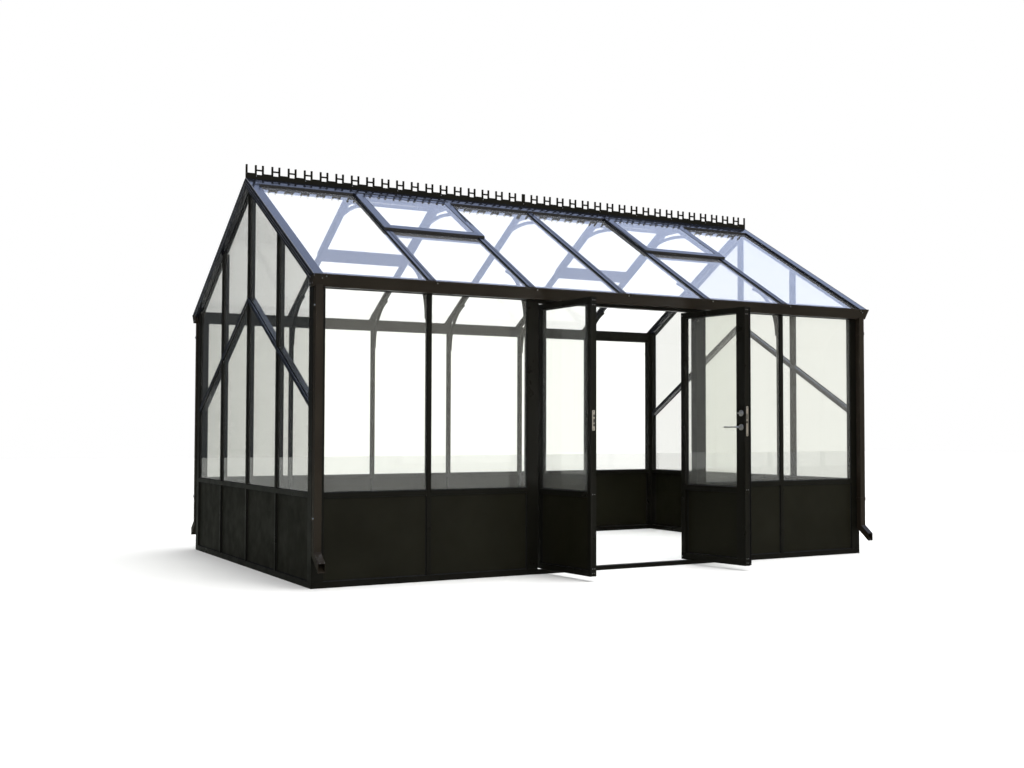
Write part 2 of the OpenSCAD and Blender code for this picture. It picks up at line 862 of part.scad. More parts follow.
// Side view of the pipe, drawn in by its wall and run past both ends
module pipe_line(inset, past) {
    y1 = -pipe_gap - inset;
    y0 = -pipe_gap - pipe_w + inset;
    mouth_y = -pipe_gap - shoe_reach - past;
    outer_z = pipe_bend_z - inset * tan(shoe_angle / 2);
    inner_z = outer_z - (y1 - y0) * tan(shoe_angle / 2);
    polygon([
        [y0, post_h + gutter_h / 2 + past],
        [y1, post_h + gutter_h / 2 + past],
        [y1, inner_z],
        [mouth_y, inner_z - (y1 - mouth_y) / tan(shoe_angle)],
        [mouth_y, outer_z - (y0 - mouth_y) / tan(shoe_angle)],
        [y0, outer_z]
    ]);
}

module downpipes() {
    color(frame_color) for (side = [0, 1]) mirror([side, 0, 0]) both_slopes() downpipe();
}

// Two short stand-offs behind each downpipe
module pipe_brackets() {
    bracket_w = 22;
    x0 = -half_l - pipe_offset + (pipe_w - bracket_w) / 2;
    color(frame_color) for (side = [0, 1]) mirror([side, 0, 0]) both_slopes()
        for (z = [bracket_low_z, post_h - bracket_drop])
            block(x0, x0 + bracket_w, -pipe_gap, 0, z, z + bracket_w);
}

// Door leaves are drawn closed, with the pivot at the origin and the leaf along +X
module place_left_leaf() {
    translate([-pivot_x, pivot_y, 0]) rotate([0, 0, -left_open]) children();
}

module place_right_leaf() {
    translate([pivot_x, pivot_y, 0]) rotate([0, 0, right_open]) mirror([1, 0, 0]) children();
}

leaf_x0 = -pivot_inset;
leaf_x1 = leaf_reach;
leaf_rail_x0 = leaf_x0 + leaf_outer_w;
leaf_rail_x1 = leaf_x1 - leaf_outer_w;
// The glass stops short of the spindle
leaf_glass_x1 = min(leaf_rail_x1, lock_x - spindle_d / 2 - edge_gap);

// Upright of a leaf: its start and end outside the glass, beside it and inside it
module leaf_stile(outer, beside, inner) {
    y0 = -leaf_t / 2;
    y1 = y0 + leaf_glass_in;
    block(outer[0], outer[1], y0, y1, leaf_bottom, leaf_top);
    block(beside[0], beside[1], y1, y1 + glass_t, leaf_bottom, leaf_top);
    block(inner[0], inner[1], y1 + glass_t, leaf_t / 2, leaf_bottom, leaf_top);
}

module leaf_rail(z0, z1, z0_in, z1_in) {
    y0 = -leaf_t / 2;
    block(leaf_rail_x0, leaf_rail_x1, y0, y0 + leaf_glass_in + glass_t, z0, z1);
    block(leaf_x0 + hinge_stile_w, leaf_x1 - lock_stile_w,
        y0 + leaf_glass_in + glass_t, leaf_t / 2, z0_in, z1_in);
}

// Pins at the top and the foot, on which the leaf turns
module pivot_pins() {
    length = leaf_gap + pivot_bite - rest_gap;
    for (z = [leaf_bottom - length, leaf_top])
        translate([0, 0, z]) cylinder(d = pivot_d, h = length, $fn = round_facets);
}

module leaf_frame(plate_z, plate_h, has_lock) {
    leaf_stile([leaf_x0, leaf_rail_x0], [leaf_x0, leaf_rail_x0], [leaf_x0, leaf_x0 + hinge_stile_w]);
    pivot_pins();
    difference() {
        leaf_stile([leaf_rail_x1, leaf_x1], [leaf_glass_x1, leaf_x1], [leaf_x1 - lock_stile_w, leaf_x1]);
        block(leaf_x1 - plate_t, leaf_x1 + eps, -plate_w / 2, plate_w / 2, plate_z, plate_z + plate_h);
        if (has_lock) for (z = [lever_z, turn_z])
            translate([lock_x, 0, z]) rotate([90, 0, 0])
                cylinder(d = spindle_d + 2 * fit_gap, h = 2 * leaf_t, center = true, $fn = round_facets);
    }
    leaf_rail(leaf_bottom, leaf_bottom + leaf_outer_w, leaf_bottom, leaf_bottom + leaf_bottom_rail_w);
    leaf_rail(leaf_mid_z, leaf_mid_top, leaf_mid_z - leaf_mid_step, leaf_mid_top + leaf_mid_step);
    leaf_rail(leaf_top - leaf_outer_w, leaf_top, leaf_top - leaf_top_rail_w, leaf_top);
}

module leaf_sheet(z0, z1) {
    y0 = -leaf_t / 2 + leaf_glass_in;
    block(leaf_rail_x0, leaf_glass_x1, y0, y0 + glass_t, z0, z1);
}

strike_drop = 25;
lock_drop = 65;
strike_z = lever_z - strike_drop;
lock_z = lever_z - lock_drop;

module left_door_frame() {
    color(frame_color) place_left_leaf() leaf_frame(strike_z, strike_plate_h, false);
}

module right_door_frame() {
    color(frame_color) place_right_leaf() leaf_frame(lock_z, lock_plate_h, true);
}

module left_door_panel() {
    color(panel_color) place_left_leaf() leaf_sheet(leaf_bottom + leaf_outer_w, leaf_mid_z);
}

module right_door_panel() {
    color(panel_color) place_right_leaf() leaf_sheet(leaf_bottom + leaf_outer_w, leaf_mid_z);
}

module left_door_glass() {
    color(glass_color) place_left_leaf() leaf_sheet(leaf_mid_top, leaf_top - leaf_outer_w);
}

module right_door_glass() {
    color(glass_color) place_right_leaf() leaf_sheet(leaf_mid_top, leaf_top - leaf_outer_w);
}

module edge_plate(z, h) {
    block(leaf_x1 - plate_t, leaf_x1, -plate_w / 2, plate_w / 2, z, z + h);
}

// Plate with a slot for the latch and one for the bolt on each side of it
module strike_plate() {
    slot_w = 12;
    latch_h = 29;
    bolt_h = 20;
    slot_pitch = 39;
    color(metal_color) place_left_leaf() difference() {
        edge_plate(strike_z, strike_plate_h);
        for (i = [-1:1]) {
            half = (i == 0 ? latch_h : bolt_h) / 2;
            z = strike_z + strike_plate_h / 2 + i * slot_pitch;
            block(leaf_x1 - 2 * plate_t, leaf_x1 + eps, -slot_w / 2, slot_w / 2, z - half, z + half);
        }
    }
}

// Lock: face plate in the closing edge and roses round the spindle and the thumb turn
module lock_case() {
    color(metal_color) place_right_leaf() {
        edge_plate(lock_z, lock_plate_h);
        for (z = [lever_z, turn_z], side = [-1, 1])
            translate([lock_x, side * (leaf_t + rose_t) / 2, z]) rotate([90, 0, 0]) difference() {
                cylinder(d = rose_d, h = rose_t, center = true, $fn = round_facets);
                cylinder(d = spindle_d + 2 * fit_gap, h = 2 * rose_t, center = true, $fn = round_facets);
            }
    }
}

module thumb_turn() {
    grip_w = 8;
    grip_h = 30;
    grip_out = 16;
    collar_t = 4;
    y_grip = leaf_t / 2 + rose_t + rest_gap + collar_t;
    color(metal_color) place_right_leaf() translate([lock_x, y_grip, turn_z]) {
        rotate([90, 0, 0]) cylinder(d = spindle_d, h = leaf_t / 2, $fn = round_facets);
        rotate([90, 0, 0]) cylinder(d = 2 * spindle_d, h = collar_t, $fn = round_facets);
        block(-grip_h / 2, grip_h / 2, 0, grip_out, -grip_w / 2, grip_w / 2);
    }
}

// One spindle through the leaf with a lever on both faces
module lever_handle() {
    y_rose = leaf_t / 2 + rose_t + rest_gap;
    y_grip = leaf_t / 2 + lever_stand;
    color(metal_color) place_right_leaf() translate([lock_x, 0, lever_z]) {
        rotate([90, 0, 0]) cylinder(d = spindle_d, h = 2 * y_grip, center = true, $fn = round_facets);
        for (side = [-1, 1]) {
            translate([0, side * (y_rose + y_grip) / 2, 0]) rotate([90, 0, 0])
                cylinder(d = lever_d, h = y_grip - y_rose, center = true, $fn = round_facets);
            translate([lever_d / 2, side * y_grip, 0]) rotate([0, -90, 0])
                cylinder(d = lever_d, h = lever_len + lever_d / 2, $fn = round_facets);
        }
    }
}

base_rails();
threshold();
corner_posts();
front_mullions();
back_mullions();
left_gable_mullions();
right_gable_mullions();
door_jambs();
door_header();
mid_rails();
front_panels();
back_panels();
left_gable_panels();
right_gable_panels();
front_glass();
back_glass();
left_gable_glass();
right_gable_glass();
eave_beams();
front_gutter();
back_gutter();
front_rafters();
back_rafters();
left_end_rafters();
right_end_rafters();
ridge_beam();
left_cresting();
right_cresting();
front_roof_glass();
back_roof_glass();
vent_crossbars();
roof_vent_frames();
roof_vent_glass();
ridge_gussets();
arch_braces();
knee_braces();
gable_braces();
downpipes();
pipe_brackets();
left_door_frame();
left_door_panel();
left_door_glass();
strike_plate();
right_door_frame();
right_door_panel();
right_door_glass();
lock_case();
thumb_turn();
lever_handle();
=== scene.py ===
import json
import math
import bpy
import numpy as np
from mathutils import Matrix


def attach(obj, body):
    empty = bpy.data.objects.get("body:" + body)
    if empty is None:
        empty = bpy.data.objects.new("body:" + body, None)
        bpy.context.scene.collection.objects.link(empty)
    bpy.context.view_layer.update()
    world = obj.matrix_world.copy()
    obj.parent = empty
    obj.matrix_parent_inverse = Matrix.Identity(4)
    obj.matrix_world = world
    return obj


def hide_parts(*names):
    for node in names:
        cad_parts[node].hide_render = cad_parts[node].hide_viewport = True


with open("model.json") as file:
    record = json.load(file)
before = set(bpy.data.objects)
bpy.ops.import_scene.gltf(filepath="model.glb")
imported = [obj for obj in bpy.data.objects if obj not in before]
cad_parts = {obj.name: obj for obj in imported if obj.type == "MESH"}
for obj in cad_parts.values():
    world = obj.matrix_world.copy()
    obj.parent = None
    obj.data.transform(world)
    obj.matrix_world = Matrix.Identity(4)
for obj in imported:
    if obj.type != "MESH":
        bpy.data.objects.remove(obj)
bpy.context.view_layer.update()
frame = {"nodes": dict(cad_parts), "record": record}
nodes = frame["nodes"]
print("frame loaded:", len(nodes), "nodes")


# Camera: the photograph's place and framing
cameraPlan = {
    "place": (-4.7717, -7.7203, 0.990),  # metres, in the house's own frame
    "turn": 0.5367,  # to the right of straight into the house, in radians
    "tilt": 0.0378,  # upwards
    "focal": 1252.5,  # in pixels of the picture
    "shift": -0.0853,  # share of the picture's width
    "pictureWidth": 1024,
    "sensor": 36.0,
    "clipEnd": 100.0,
}


def placeCamera(plan):
    lens = bpy.data.cameras.new("photoCamera")
    lens.sensor_width = plan["sensor"]
    lens.lens = plan["focal"] / plan["pictureWidth"] * plan["sensor"]
    lens.shift_x = plan["shift"]
    lens.clip_end = plan["clipEnd"]
    camera = bpy.data.objects.new("photoCamera", lens)
    camera.location = plan["place"]
    camera.rotation_euler = (math.pi / 2 + plan["tilt"], 0, -plan["turn"])
    bpy.context.scene.collection.objects.link(camera)
    bpy.context.scene.camera = camera


# Shader helpers: for the surround and for the materials
def addRange(tree, value, low=0.0, high=1.0, fromLow=0.3, fromHigh=0.7):
    spread = tree.nodes.new("ShaderNodeMapRange")
    for socket, limit in (("From Min", fromLow), ("From Max", fromHigh), ("To Min", low), ("To Max", high)):
        spread.inputs[socket].default_value = limit
    tree.links.new(value, spread.inputs["Value"])
    return spread.outputs["Result"]


def addColorMix(tree, factor, first, second):
    # each color is three numbers or the output of another node
    mix = tree.nodes.new("ShaderNodeMix")
    mix.data_type = "RGBA"
    for socket, color in ((mix.inputs[6], first), (mix.inputs[7], second)):
        if isinstance(color, tuple):
            socket.default_value = (*color, 1)
        else:
            tree.links.new(color, socket)
    tree.links.new(factor, mix.inputs["Factor"])
    return mix.outputs[2]


# Light: a white surround and two lamps; mirrored light meets a pale blue sky and a dark screen
lightPlan = {
    "backdrop": (1.0, 1.0, 1.0),
    "through": 1.42,  # brightness of the surround seen through glass
    "horizon": (0.40, 0.365, 0.30),
    "sky": (0.74, 0.88, 1.30),
    "skyRise": (0.22, 0.50),  # height on the unit sphere where the sky starts and is full
    "screen": (0.03, 0.035, 0.04),
    "screenAim": (-0.94, 0.34, 0.0),
    "screenEdge": (0.20, 0.50),  # from its soft border to full dark
    "fill": 1.45,  # brightness of the surround for matt surfaces
    "shade": 0.22,  # share of it that comes from the side of the screen
    "lamps": [
        {"name": "keyLamp", "place": (1.5, -9.0, 7.0), "aim": (0.0, 1.0, 0.8),
         "size": 4.0, "power": 300.0, "color": (1.0, 0.97, 0.93)},
        {"name": "topLamp", "place": (1.0, 0.5, 9.0), "aim": (0.0, 1.5, 1.5),
         "size": 8.0, "power": 420.0, "color": (0.95, 0.97, 1.0)},
    ],
}


def setSurround(plan):
    world = bpy.data.worlds.new("paleSurround")
    bpy.context.scene.world = world
    world.use_nodes = True
    tree = world.node_tree
    heading = tree.nodes.new("ShaderNodeTexCoord").outputs["Generated"]
    split = tree.nodes.new("ShaderNodeSeparateXYZ")
    tree.links.new(heading, split.inputs["Vector"])
    rise = addRange(tree, split.outputs["Z"], 0.0, 1.0, *plan["skyRise"])
    towards = tree.nodes.new("ShaderNodeVectorMath")
    towards.operation = "DOT_PRODUCT"
    towards.inputs[1].default_value = plan["screenAim"]
    tree.links.new(heading, towards.inputs[0])
    dark = addRange(tree, towards.outputs["Value"], 0.0, 1.0, *plan["screenEdge"])
    mirrored = addColorMix(tree, rise, plan["horizon"], plan["sky"])
    mirrored = addColorMix(tree, dark, mirrored, plan["screen"])
    fill = tuple(plan["fill"] * part for part in plan["backdrop"])
    matt = addColorMix(tree, dark, fill, tuple(plan["shade"] * part for part in fill))
    through = tuple(plan["through"] * part for part in plan["backdrop"])
    path = tree.nodes.new("ShaderNodeLightPath")
    seen = addColorMix(tree, path.outputs["Is Transmission Ray"], plan["backdrop"], through)
    # the depths count bounces, so mirrored or scattered light keeps its own surround behind a pane
    for count, color in (("Glossy Depth", mirrored), ("Diffuse Depth", matt)):
        seen = addColorMix(tree, addRange(tree, path.outputs[count], 0.0, 1.0, 0.0, 1.0), seen, color)
    tree.links.new(seen, tree.nodes["Background"].inputs["Color"])
    bpy.context.scene.view_settings.view_transform = "Standard"


def addLamp(plan):
    lamp = bpy.data.lights.new(plan["name"], "AREA")
    lamp.shape, lamp.size = "DISK", plan["size"]
    lamp.energy, lamp.color = plan["power"], plan["color"]
    holder = bpy.data.objects.new(plan["name"], lamp)
    holder.location = plan["place"]
    holder.visible_glossy = False  # a mirrored lamp leaves specks on panes and panels
    x, y, z = np.subtract(plan["place"], plan["aim"])
    holder.rotation_euler = (math.atan2(math.hypot(x, y), z), 0, math.atan2(x, -y))
    bpy.context.scene.collection.objects.link(holder)


placeCamera(cameraPlan)
setSurround(lightPlan)
for lampPlan in lightPlan["lamps"]:
    addLamp(lampPlan)
print("camera and light placed")


# Materials: every pattern reads Object coordinates, in metres
def newMaterial(name):
    material = bpy.data.materials.new(name)
    material.use_nodes = True
    tree = material.node_tree
    shader = tree.nodes["Principled BSDF"]
    coords = tree.nodes.new("ShaderNodeTexCoord")
    return material, tree, shader, coords.outputs["Object"]


def addNoise(tree, place, scale, detail=3.0, rough=0.5, stretch=None):
    noise = tree.nodes.new("ShaderNodeTexNoise")
    noise.inputs["Scale"].default_value = scale
    noise.inputs["Detail"].default_value = detail
    noise.inputs["Roughness"].default_value = rough
    if stretch:
        mapping = tree.nodes.new("ShaderNodeMapping")
        mapping.inputs["Scale"].default_value = stretch
        tree.links.new(place, mapping.inputs["Vector"])
        place = mapping.outputs["Vector"]
    tree.links.new(place, noise.inputs["Vector"])
    return noise.outputs["Fac"]


def addBump(tree, shader, height, strength, distance):
    bump = tree.nodes.new("ShaderNodeBump")
    bump.inputs["Strength"].default_value = strength
    bump.inputs["Distance"].default_value = distance
    tree.links.new(height, bump.inputs["Height"])
    tree.links.new(bump.outputs["Normal"], shader.inputs["Normal"])


# Powder coat: fine orange peel, cloudy gloss and a faint film of dust
coatPlan = {
    "cloud": (2.3, 5.0, 0.6),  # scale, detail and roughness of the noise
    "gloss": (9.0, 4.0, 0.55),
    "peelDetail": 2.0,
    "peelDepth": 0.0004,
    "skySheenRough": 0.25,
}


def powderCoat(name, color, dusty, rough, grain, peel, gleam, skySheen=None):
    # the last argument is the weight and the color of a blue sheen, a painted reflection of the sky on the
    # sloped bars
    material, tree, shader, place = newMaterial(name)
    cloud = addNoise(tree, place, *coatPlan["cloud"])
    tint = addColorMix(tree, addRange(tree, cloud), color, dusty)
    tree.links.new(tint, shader.inputs["Base Color"])
    gloss = addNoise(tree, place, *coatPlan["gloss"])
    tree.links.new(addRange(tree, gloss, *rough), shader.inputs["Roughness"])
    addBump(tree, shader, addNoise(tree, place, grain, coatPlan["peelDetail"]), peel, coatPlan["peelDepth"])
    shader.inputs["Specular IOR Level"].default_value = gleam
    if skySheen:
        shader.inputs["Sheen Weight"].default_value = skySheen[0]
        shader.inputs["Sheen Roughness"].default_value = coatPlan["skySheenRough"]
        shader.inputs["Sheen Tint"].default_value = (*skySheen[1], 1)
    return material


# Clear glass: refracts, and lets the lamps through in its shadow
def clearGlass(name, tint, ior, clarity):
    # what clarity leaves short of 1 is a thin pale veil on the pane, a painted reflection of the
    # surroundings in the tint's colour
    material, tree, shader, place = newMaterial(name)
    shader.inputs["Transmission Weight"].default_value = clarity
    shader.inputs["Roughness"].default_value = 0.0
    shader.inputs["IOR"].default_value = ior
    shader.inputs["Base Color"].default_value = (*tint, 1)
    clear = tree.nodes.new("ShaderNodeBsdfTransparent")
    clear.inputs["Color"].default_value = (*tint, 1)
    path = tree.nodes.new("ShaderNodeLightPath")
    mix = tree.nodes.new("ShaderNodeMixShader")
    tree.links.new(path.outputs["Is Shadow Ray"], mix.inputs[0])
    tree.links.new(shader.outputs[0], mix.inputs[1])
    tree.links.new(clear.outputs[0], mix.inputs[2])
    tree.links.new(mix.outputs[0], tree.nodes["Material Output"].inputs["Surface"])
    return material


# Satin steel: fine scratches along the piece and soft cloudy gloss
steelPlan = {
    "cloud": (40.0, 4.0),
    "darker": 0.82,
    "lines": (900.0, 2.0, 0.5),
    "lineStrength": 0.25,
    "lineDepth": 0.0002,
}


def satinSteel(name, color, rough, stretch=(1.0, 1.0, 0.06)):
    material, tree, shader, place = newMaterial(name)
    shader.inputs["Metallic"].default_value = 1.0
    cloud = addRange(tree, addNoise(tree, place, *steelPlan["cloud"]))
    tint = addColorMix(tree, cloud, color, tuple(steelPlan["darker"] * part for part in color))
    tree.links.new(tint, shader.inputs["Base Color"])
    lines = addNoise(tree, place, *steelPlan["lines"], stretch)
    tree.links.new(addRange(tree, lines, *rough), shader.inputs["Roughness"])
    addBump(tree, shader, lines, steelPlan["lineStrength"], steelPlan["lineDepth"])
    return material


# Finishes: one for each slot, and those of single nodes and small parts
finishes = {
    "wall_frame": powderCoat("wallFramePaint", (0.0040, 0.0038, 0.0025), (0.007, 0.0068, 0.0048),
                             (0.26, 0.40), 420.0, 0.10, 0.16),
    # roof bars: their faint blue base tint and blue sheen are painted reflection of the sky
    "roof_frame": powderCoat("roofFramePaint", (0.004, 0.0042, 0.006), (0.007, 0.0075, 0.010),
                             (0.10, 0.20), 420.0, 0.05, 0.72, (0.04, (0.18, 0.38, 1.0))),
    "crestFrame": powderCoat("crestPaint", (0.0050, 0.0045, 0.0025), (0.009, 0.008, 0.005),
                             (0.34, 0.48), 420.0, 0.10, 0.10),
    # lighter grey for the verge beads: painted highlight lines along the end rafters' edge and grooves
    "paintedRimHighlight": powderCoat("paintedHighlightBead", (0.09, 0.09, 0.095), (0.12, 0.12, 0.125),
                           (0.22, 0.34), 420.0, 0.05, 1.0),
    "rainware": powderCoat("rainwarePaint", (0.013, 0.0095, 0.0065), (0.019, 0.015, 0.010),
                           (0.30, 0.44), 420.0, 0.12, 0.16),
    "panels": powderCoat("panelPaint", (0.0065, 0.006, 0.0025), (0.010, 0.0095, 0.005),
                         (0.38, 0.52), 380.0, 0.14, 0.14),
    # the wall panes' greenish tint colours their veil as a painted reflection of green surroundings
    "glass": clearGlass("wallPane", (0.935, 0.945, 0.91), 1.45, 0.965),
    # gable panes tinted darker than the wall panes, as painted shade
    "shadedGablePane": clearGlass("shadedGablePane", (0.725, 0.73, 0.70), 1.45, 0.985),
    "roofPane": clearGlass("roofPane", (0.995, 0.998, 0.995), 1.52, 0.972),
    "fittings": satinSteel("fittingSteel", (0.70, 0.69, 0.66), (0.22, 0.40)),
    # plate steel made paler and warmer than bare steel: painted sunlight on the edge plates
    "sunlitPlateSteel": satinSteel("sunlitPlateSteel", (0.96, 0.88, 0.76), (0.34, 0.52)),
    "boltSteel": satinSteel("boltSteel", (0.10, 0.095, 0.09), (0.35, 0.55)),
    "zinc": satinSteel("zincScrew", (0.60, 0.60, 0.58), (0.25, 0.42), (1.0, 1.0, 1.0)),
    "rubber": powderCoat("sealRubber", (0.006, 0.006, 0.006), (0.010, 0.010, 0.009),
                         (0.55, 0.72), 300.0, 0.15, 0.25),
    # near-black, matt and without gloss: painted shade in the hollow behind the strike slots
    "paintedPocketShade": powderCoat("paintedPocketShade", (0.0004, 0.0004, 0.0004), (0.0006, 0.0006, 0.0006),
                              (0.80, 0.95), 420.0, 0.05, 0.02),
    "brushPile": powderCoat("brushPile", (0.010, 0.010, 0.009), (0.018, 0.017, 0.015),
                            (0.85, 0.95), 1100.0, 0.9, 0.10),
}
ownFinish = {
    "left_cresting": "crestFrame", "right_cresting": "crestFrame",
    "left_gable_glass": "shadedGablePane", "right_gable_glass": "shadedGablePane",
    "front_roof_glass": "roofPane", "back_roof_glass": "roofPane", "roof_vent_glass": "roofPane",
}


# CAD nodes: their own finish, and for rigid bars a small rounded edge
edgePlan = {
    "radius": 0.0012,
    "thin": {"fittings": 0.0006, "rainware": 0.0008},
    "segments": 2,
    "sharper": 35.0,  # degrees between two faces from which an edge is rounded
    "pieceSharper": 40.0,  # the same for the pieces made here
    "joinUnder": 0.00002,
}


def addBevel(piece, width, sharper):
    bevel = piece.modifiers.new("softEdges", "BEVEL")
    bevel.width, bevel.segments = width, edgePlan["segments"]
    bevel.limit_method, bevel.angle_limit = "ANGLE", math.radians(sharper)


def dressNode(name, slot, plan):
    piece = nodes[name]
    piece.data.materials.clear()
    piece.data.materials.append(finishes[ownFinish.get(name, slot)])
    if slot != "glass":
        piece.modifiers.new("joined", "WELD").merge_threshold = plan["joinUnder"]
        addBevel(piece, plan["thin"].get(slot, plan["radius"]), plan["sharper"])


for row in frame["record"]["subparts"]:
    dressNode(row["node"], row["material_slot"], edgePlan)
print("frame dressed")


# Measures of the house that the added pieces are set out by, in metres
housePlan = {
    "halfLength": 2.287,
    "width": 3.084,
    "bay": 0.745,
    "postTop": 1.905,
    "beamHeight": 0.094,
    "pitch": math.radians(28.7),
    "capDepth": 0.012,
    "glassInside": 0.016,
    "baseTop": 0.040,
    "midLow": 0.569,
    "midTop": 0.602,
    "corner": 0.080,
    "wallCap": 0.030,
    "wallBox": 0.022,
    "verge": 0.025,
    "vergeCap": 0.068,
    "vergeDepth": 0.060,
    "rafterCap": 0.050,
    "rafterBox": 0.024,
    "eaveReach": 0.045,
    "flangeReach": 0.1053,  # flange width seen in plan
    "flangeThick": 0.008,
    "ventStart": 0.775,
    "ventThick": 0.015,
    "ventStile": 0.062,
    "ventRail": 0.056,
    "diagonalTop": 1.965,
    "diagonalCap": 0.030,
    "diagonalBox": 0.034,
    "gutterReach": 0.107,
    "gutterFloor": 0.057,
    "gutterTop": 1.978,
    "pipeOut": 0.004,
    "pipeWidth": 0.048,
    "pipeGap": 0.019,
}
slopeCos, slopeTan = math.cos(housePlan["pitch"]), math.tan(housePlan["pitch"])
eaveLine = housePlan["postTop"] + housePlan["beamHeight"] + housePlan["glassInside"] / slopeCos
midY = housePlan["width"] / 2
longBars = [step * housePlan["bay"] for step in (-2, -1, 0, 1, 2)]
gableBars = [midY + step * housePlan["bay"] for step in (-1, 0, 1)]
ventMiddles = [step * housePlan["bay"] for step in (-1.5, 1.5)]


def roofHeight(y, depth=0.0):
    # height of the plane that lies this depth under the tops of the rafter caps, on the front slope
    return eaveLine + y * slopeTan - depth / slopeCos


# Mesh work: a part is an array of points with arrays of faces, and a piece joins its parts in one mesh
def faceGrid(rows, columns, closeRows, closeColumns):
    # quads between neighbouring points of a grid, carried round where the grid closes on itself
    row, column = np.meshgrid(np.arange(rows if closeRows else rows - 1),
                              np.arange(columns if closeColumns else columns - 1), indexing="ij")
    nextRow, nextColumn = (row + 1) % rows, (column + 1) % columns
    corners = (row * columns + column, nextRow * columns + column,
               nextRow * columns + nextColumn, row * columns + nextColumn)
    return np.stack([corner.ravel() for corner in corners], axis=1)


def shell(rings):
    # rows of points, each row a ring, closed by a flat cap on the first and on the last
    rows, count = rings.shape[:2]
    ends = np.stack([np.arange(count)[::-1], np.arange(count) + (rows - 1) * count])
    return {"points": rings.reshape(-1, 3), "faces": [faceGrid(rows, count, False, True), ends]}


def sweep(path, side, up, profile, scale=None):
    # point(i, j) = path(i) + s(i) * a(j) * side(i) + t(i) * b(j) * up(i)
    path, profile = np.asarray(path, float), np.asarray(profile, float)
    side = np.broadcast_to(np.asarray(side, float), path.shape)
    up = np.broadcast_to(np.asarray(up, float), path.shape)
    grow = np.ones((len(path), 2)) if scale is None else scale
    across = profile[None] * grow[:, None]
    return shell(path[:, None] + side[:, None] * across[..., :1] + up[:, None] * across[..., 1:])


def frameLoop(corners, normal, profile):
    # a bead round a flat outline: a(j) runs inwards along the mitre of each corner, b(j) along the normal
    corners, normal, profile = (np.asarray(item, float) for item in (corners, normal, profile))
    along = np.roll(corners, -1, axis=0) - corners
    along = along / np.linalg.norm(along, axis=1, keepdims=True)
    inwards = np.cross(normal, along)
    middle = corners.mean(axis=0)
    inwards = inwards * np.sign(((middle - corners) * inwards).sum(axis=1, keepdims=True))
    before = np.roll(inwards, 1, axis=0)
    mitre = (inwards + before) / (1 + (inwards * before).sum(axis=1, keepdims=True))
    points = corners[:, None] + mitre[:, None] * profile[None, :, :1] + normal * profile[None, :, 1:]
    return {"points": points.reshape(-1, 3), "faces": [faceGrid(len(corners), len(profile), True, True)]}


def layered(flat, heights):
    # rings of flat points, ring i at height h(i)
    heights = np.broadcast_to(np.asarray(heights, float)[:, None, None], (*flat.shape[:2], 1))
    return shell(np.concatenate([flat, heights], axis=-1))


def circleOutline(count, radius=1.0):
    turn = np.linspace(0, 2 * np.pi, count, endpoint=False)
    return np.stack([np.cos(turn), np.sin(turn)], axis=1) * radius


def lathe(radii, heights, count):
    # point(i, j) = (r(i) cos t(j), r(i) sin t(j), h(i))
    return layered(np.asarray(radii, float)[:, None, None] * circleOutline(count), heights)


def stackOutline(outline, insets, heights):
    # layers of one outline, each drawn in along its own normals by inset(i)
    along = np.roll(outline, -1, axis=0) - np.roll(outline, 1, axis=0)
    along = along / np.linalg.norm(along, axis=1, keepdims=True)
    inwards = np.stack([-along[:, 1], along[:, 0]], axis=1)
    return layered(outline + np.asarray(insets, float)[:, None, None] * inwards, heights)


def roundedOutline(width, height, radius, steps):
    # a rectangle about the origin with quarter circles at its corners, anticlockwise
    turn = np.linspace(0, np.pi / 2, steps)
    start = np.arange(4)[:, None] * np.pi / 2
    middle = np.array([[1, 1], [-1, 1], [-1, -1], [1, -1]]) * (np.array([width, height]) / 2 - radius)
    arc = np.stack([np.cos(start + turn), np.sin(start + turn)], axis=-1) * radius
    return (middle[:, None] + arc).reshape(-1, 2)


def placed(part, origins, axes):
    # copies of a part: point = origin + x * side + y * up + z * out, for each origin with its own three axes
    origins = np.asarray(origins, float).reshape(-1, 3)
    axes = np.broadcast_to(np.asarray(axes, float), (len(origins), 3, 3))
    points = origins[:, None] + part["points"] @ axes
    shift = np.arange(len(origins)) * len(part["points"])
    faces = [(rows[None] + shift[:, None, None]).reshape(-1, rows.shape[1]) for rows in part["faces"]]
    return {"points": points.reshape(-1, 3), "faces": faces}


def axesFor(out, up=(0, 0, 1)):
    # side, up and out of a small part, from the way it faces
    out, up = np.asarray(out, float), np.asarray(up, float)
    out = out / np.linalg.norm(out)
    side = np.cross(up, out)
    side = side / np.linalg.norm(side)
    return np.stack([side, np.cross(out, side), out])


def turnedOut(part):
    # signed volume of the closed shell: where it is negative, every face is turned round
    points, volume = part["points"], 0.0
    for rows in part["faces"]:
        first = points[rows[:, 0]]
        for step in range(1, rows.shape[1] - 1):
            square = np.cross(points[rows[:, step]], points[rows[:, step + 1]])
            volume += np.einsum("ij,ij->", first, square)
    if volume < 0:
        part = {"points": points, "faces": [rows[:, ::-1] for rows in part["faces"]]}
    return part


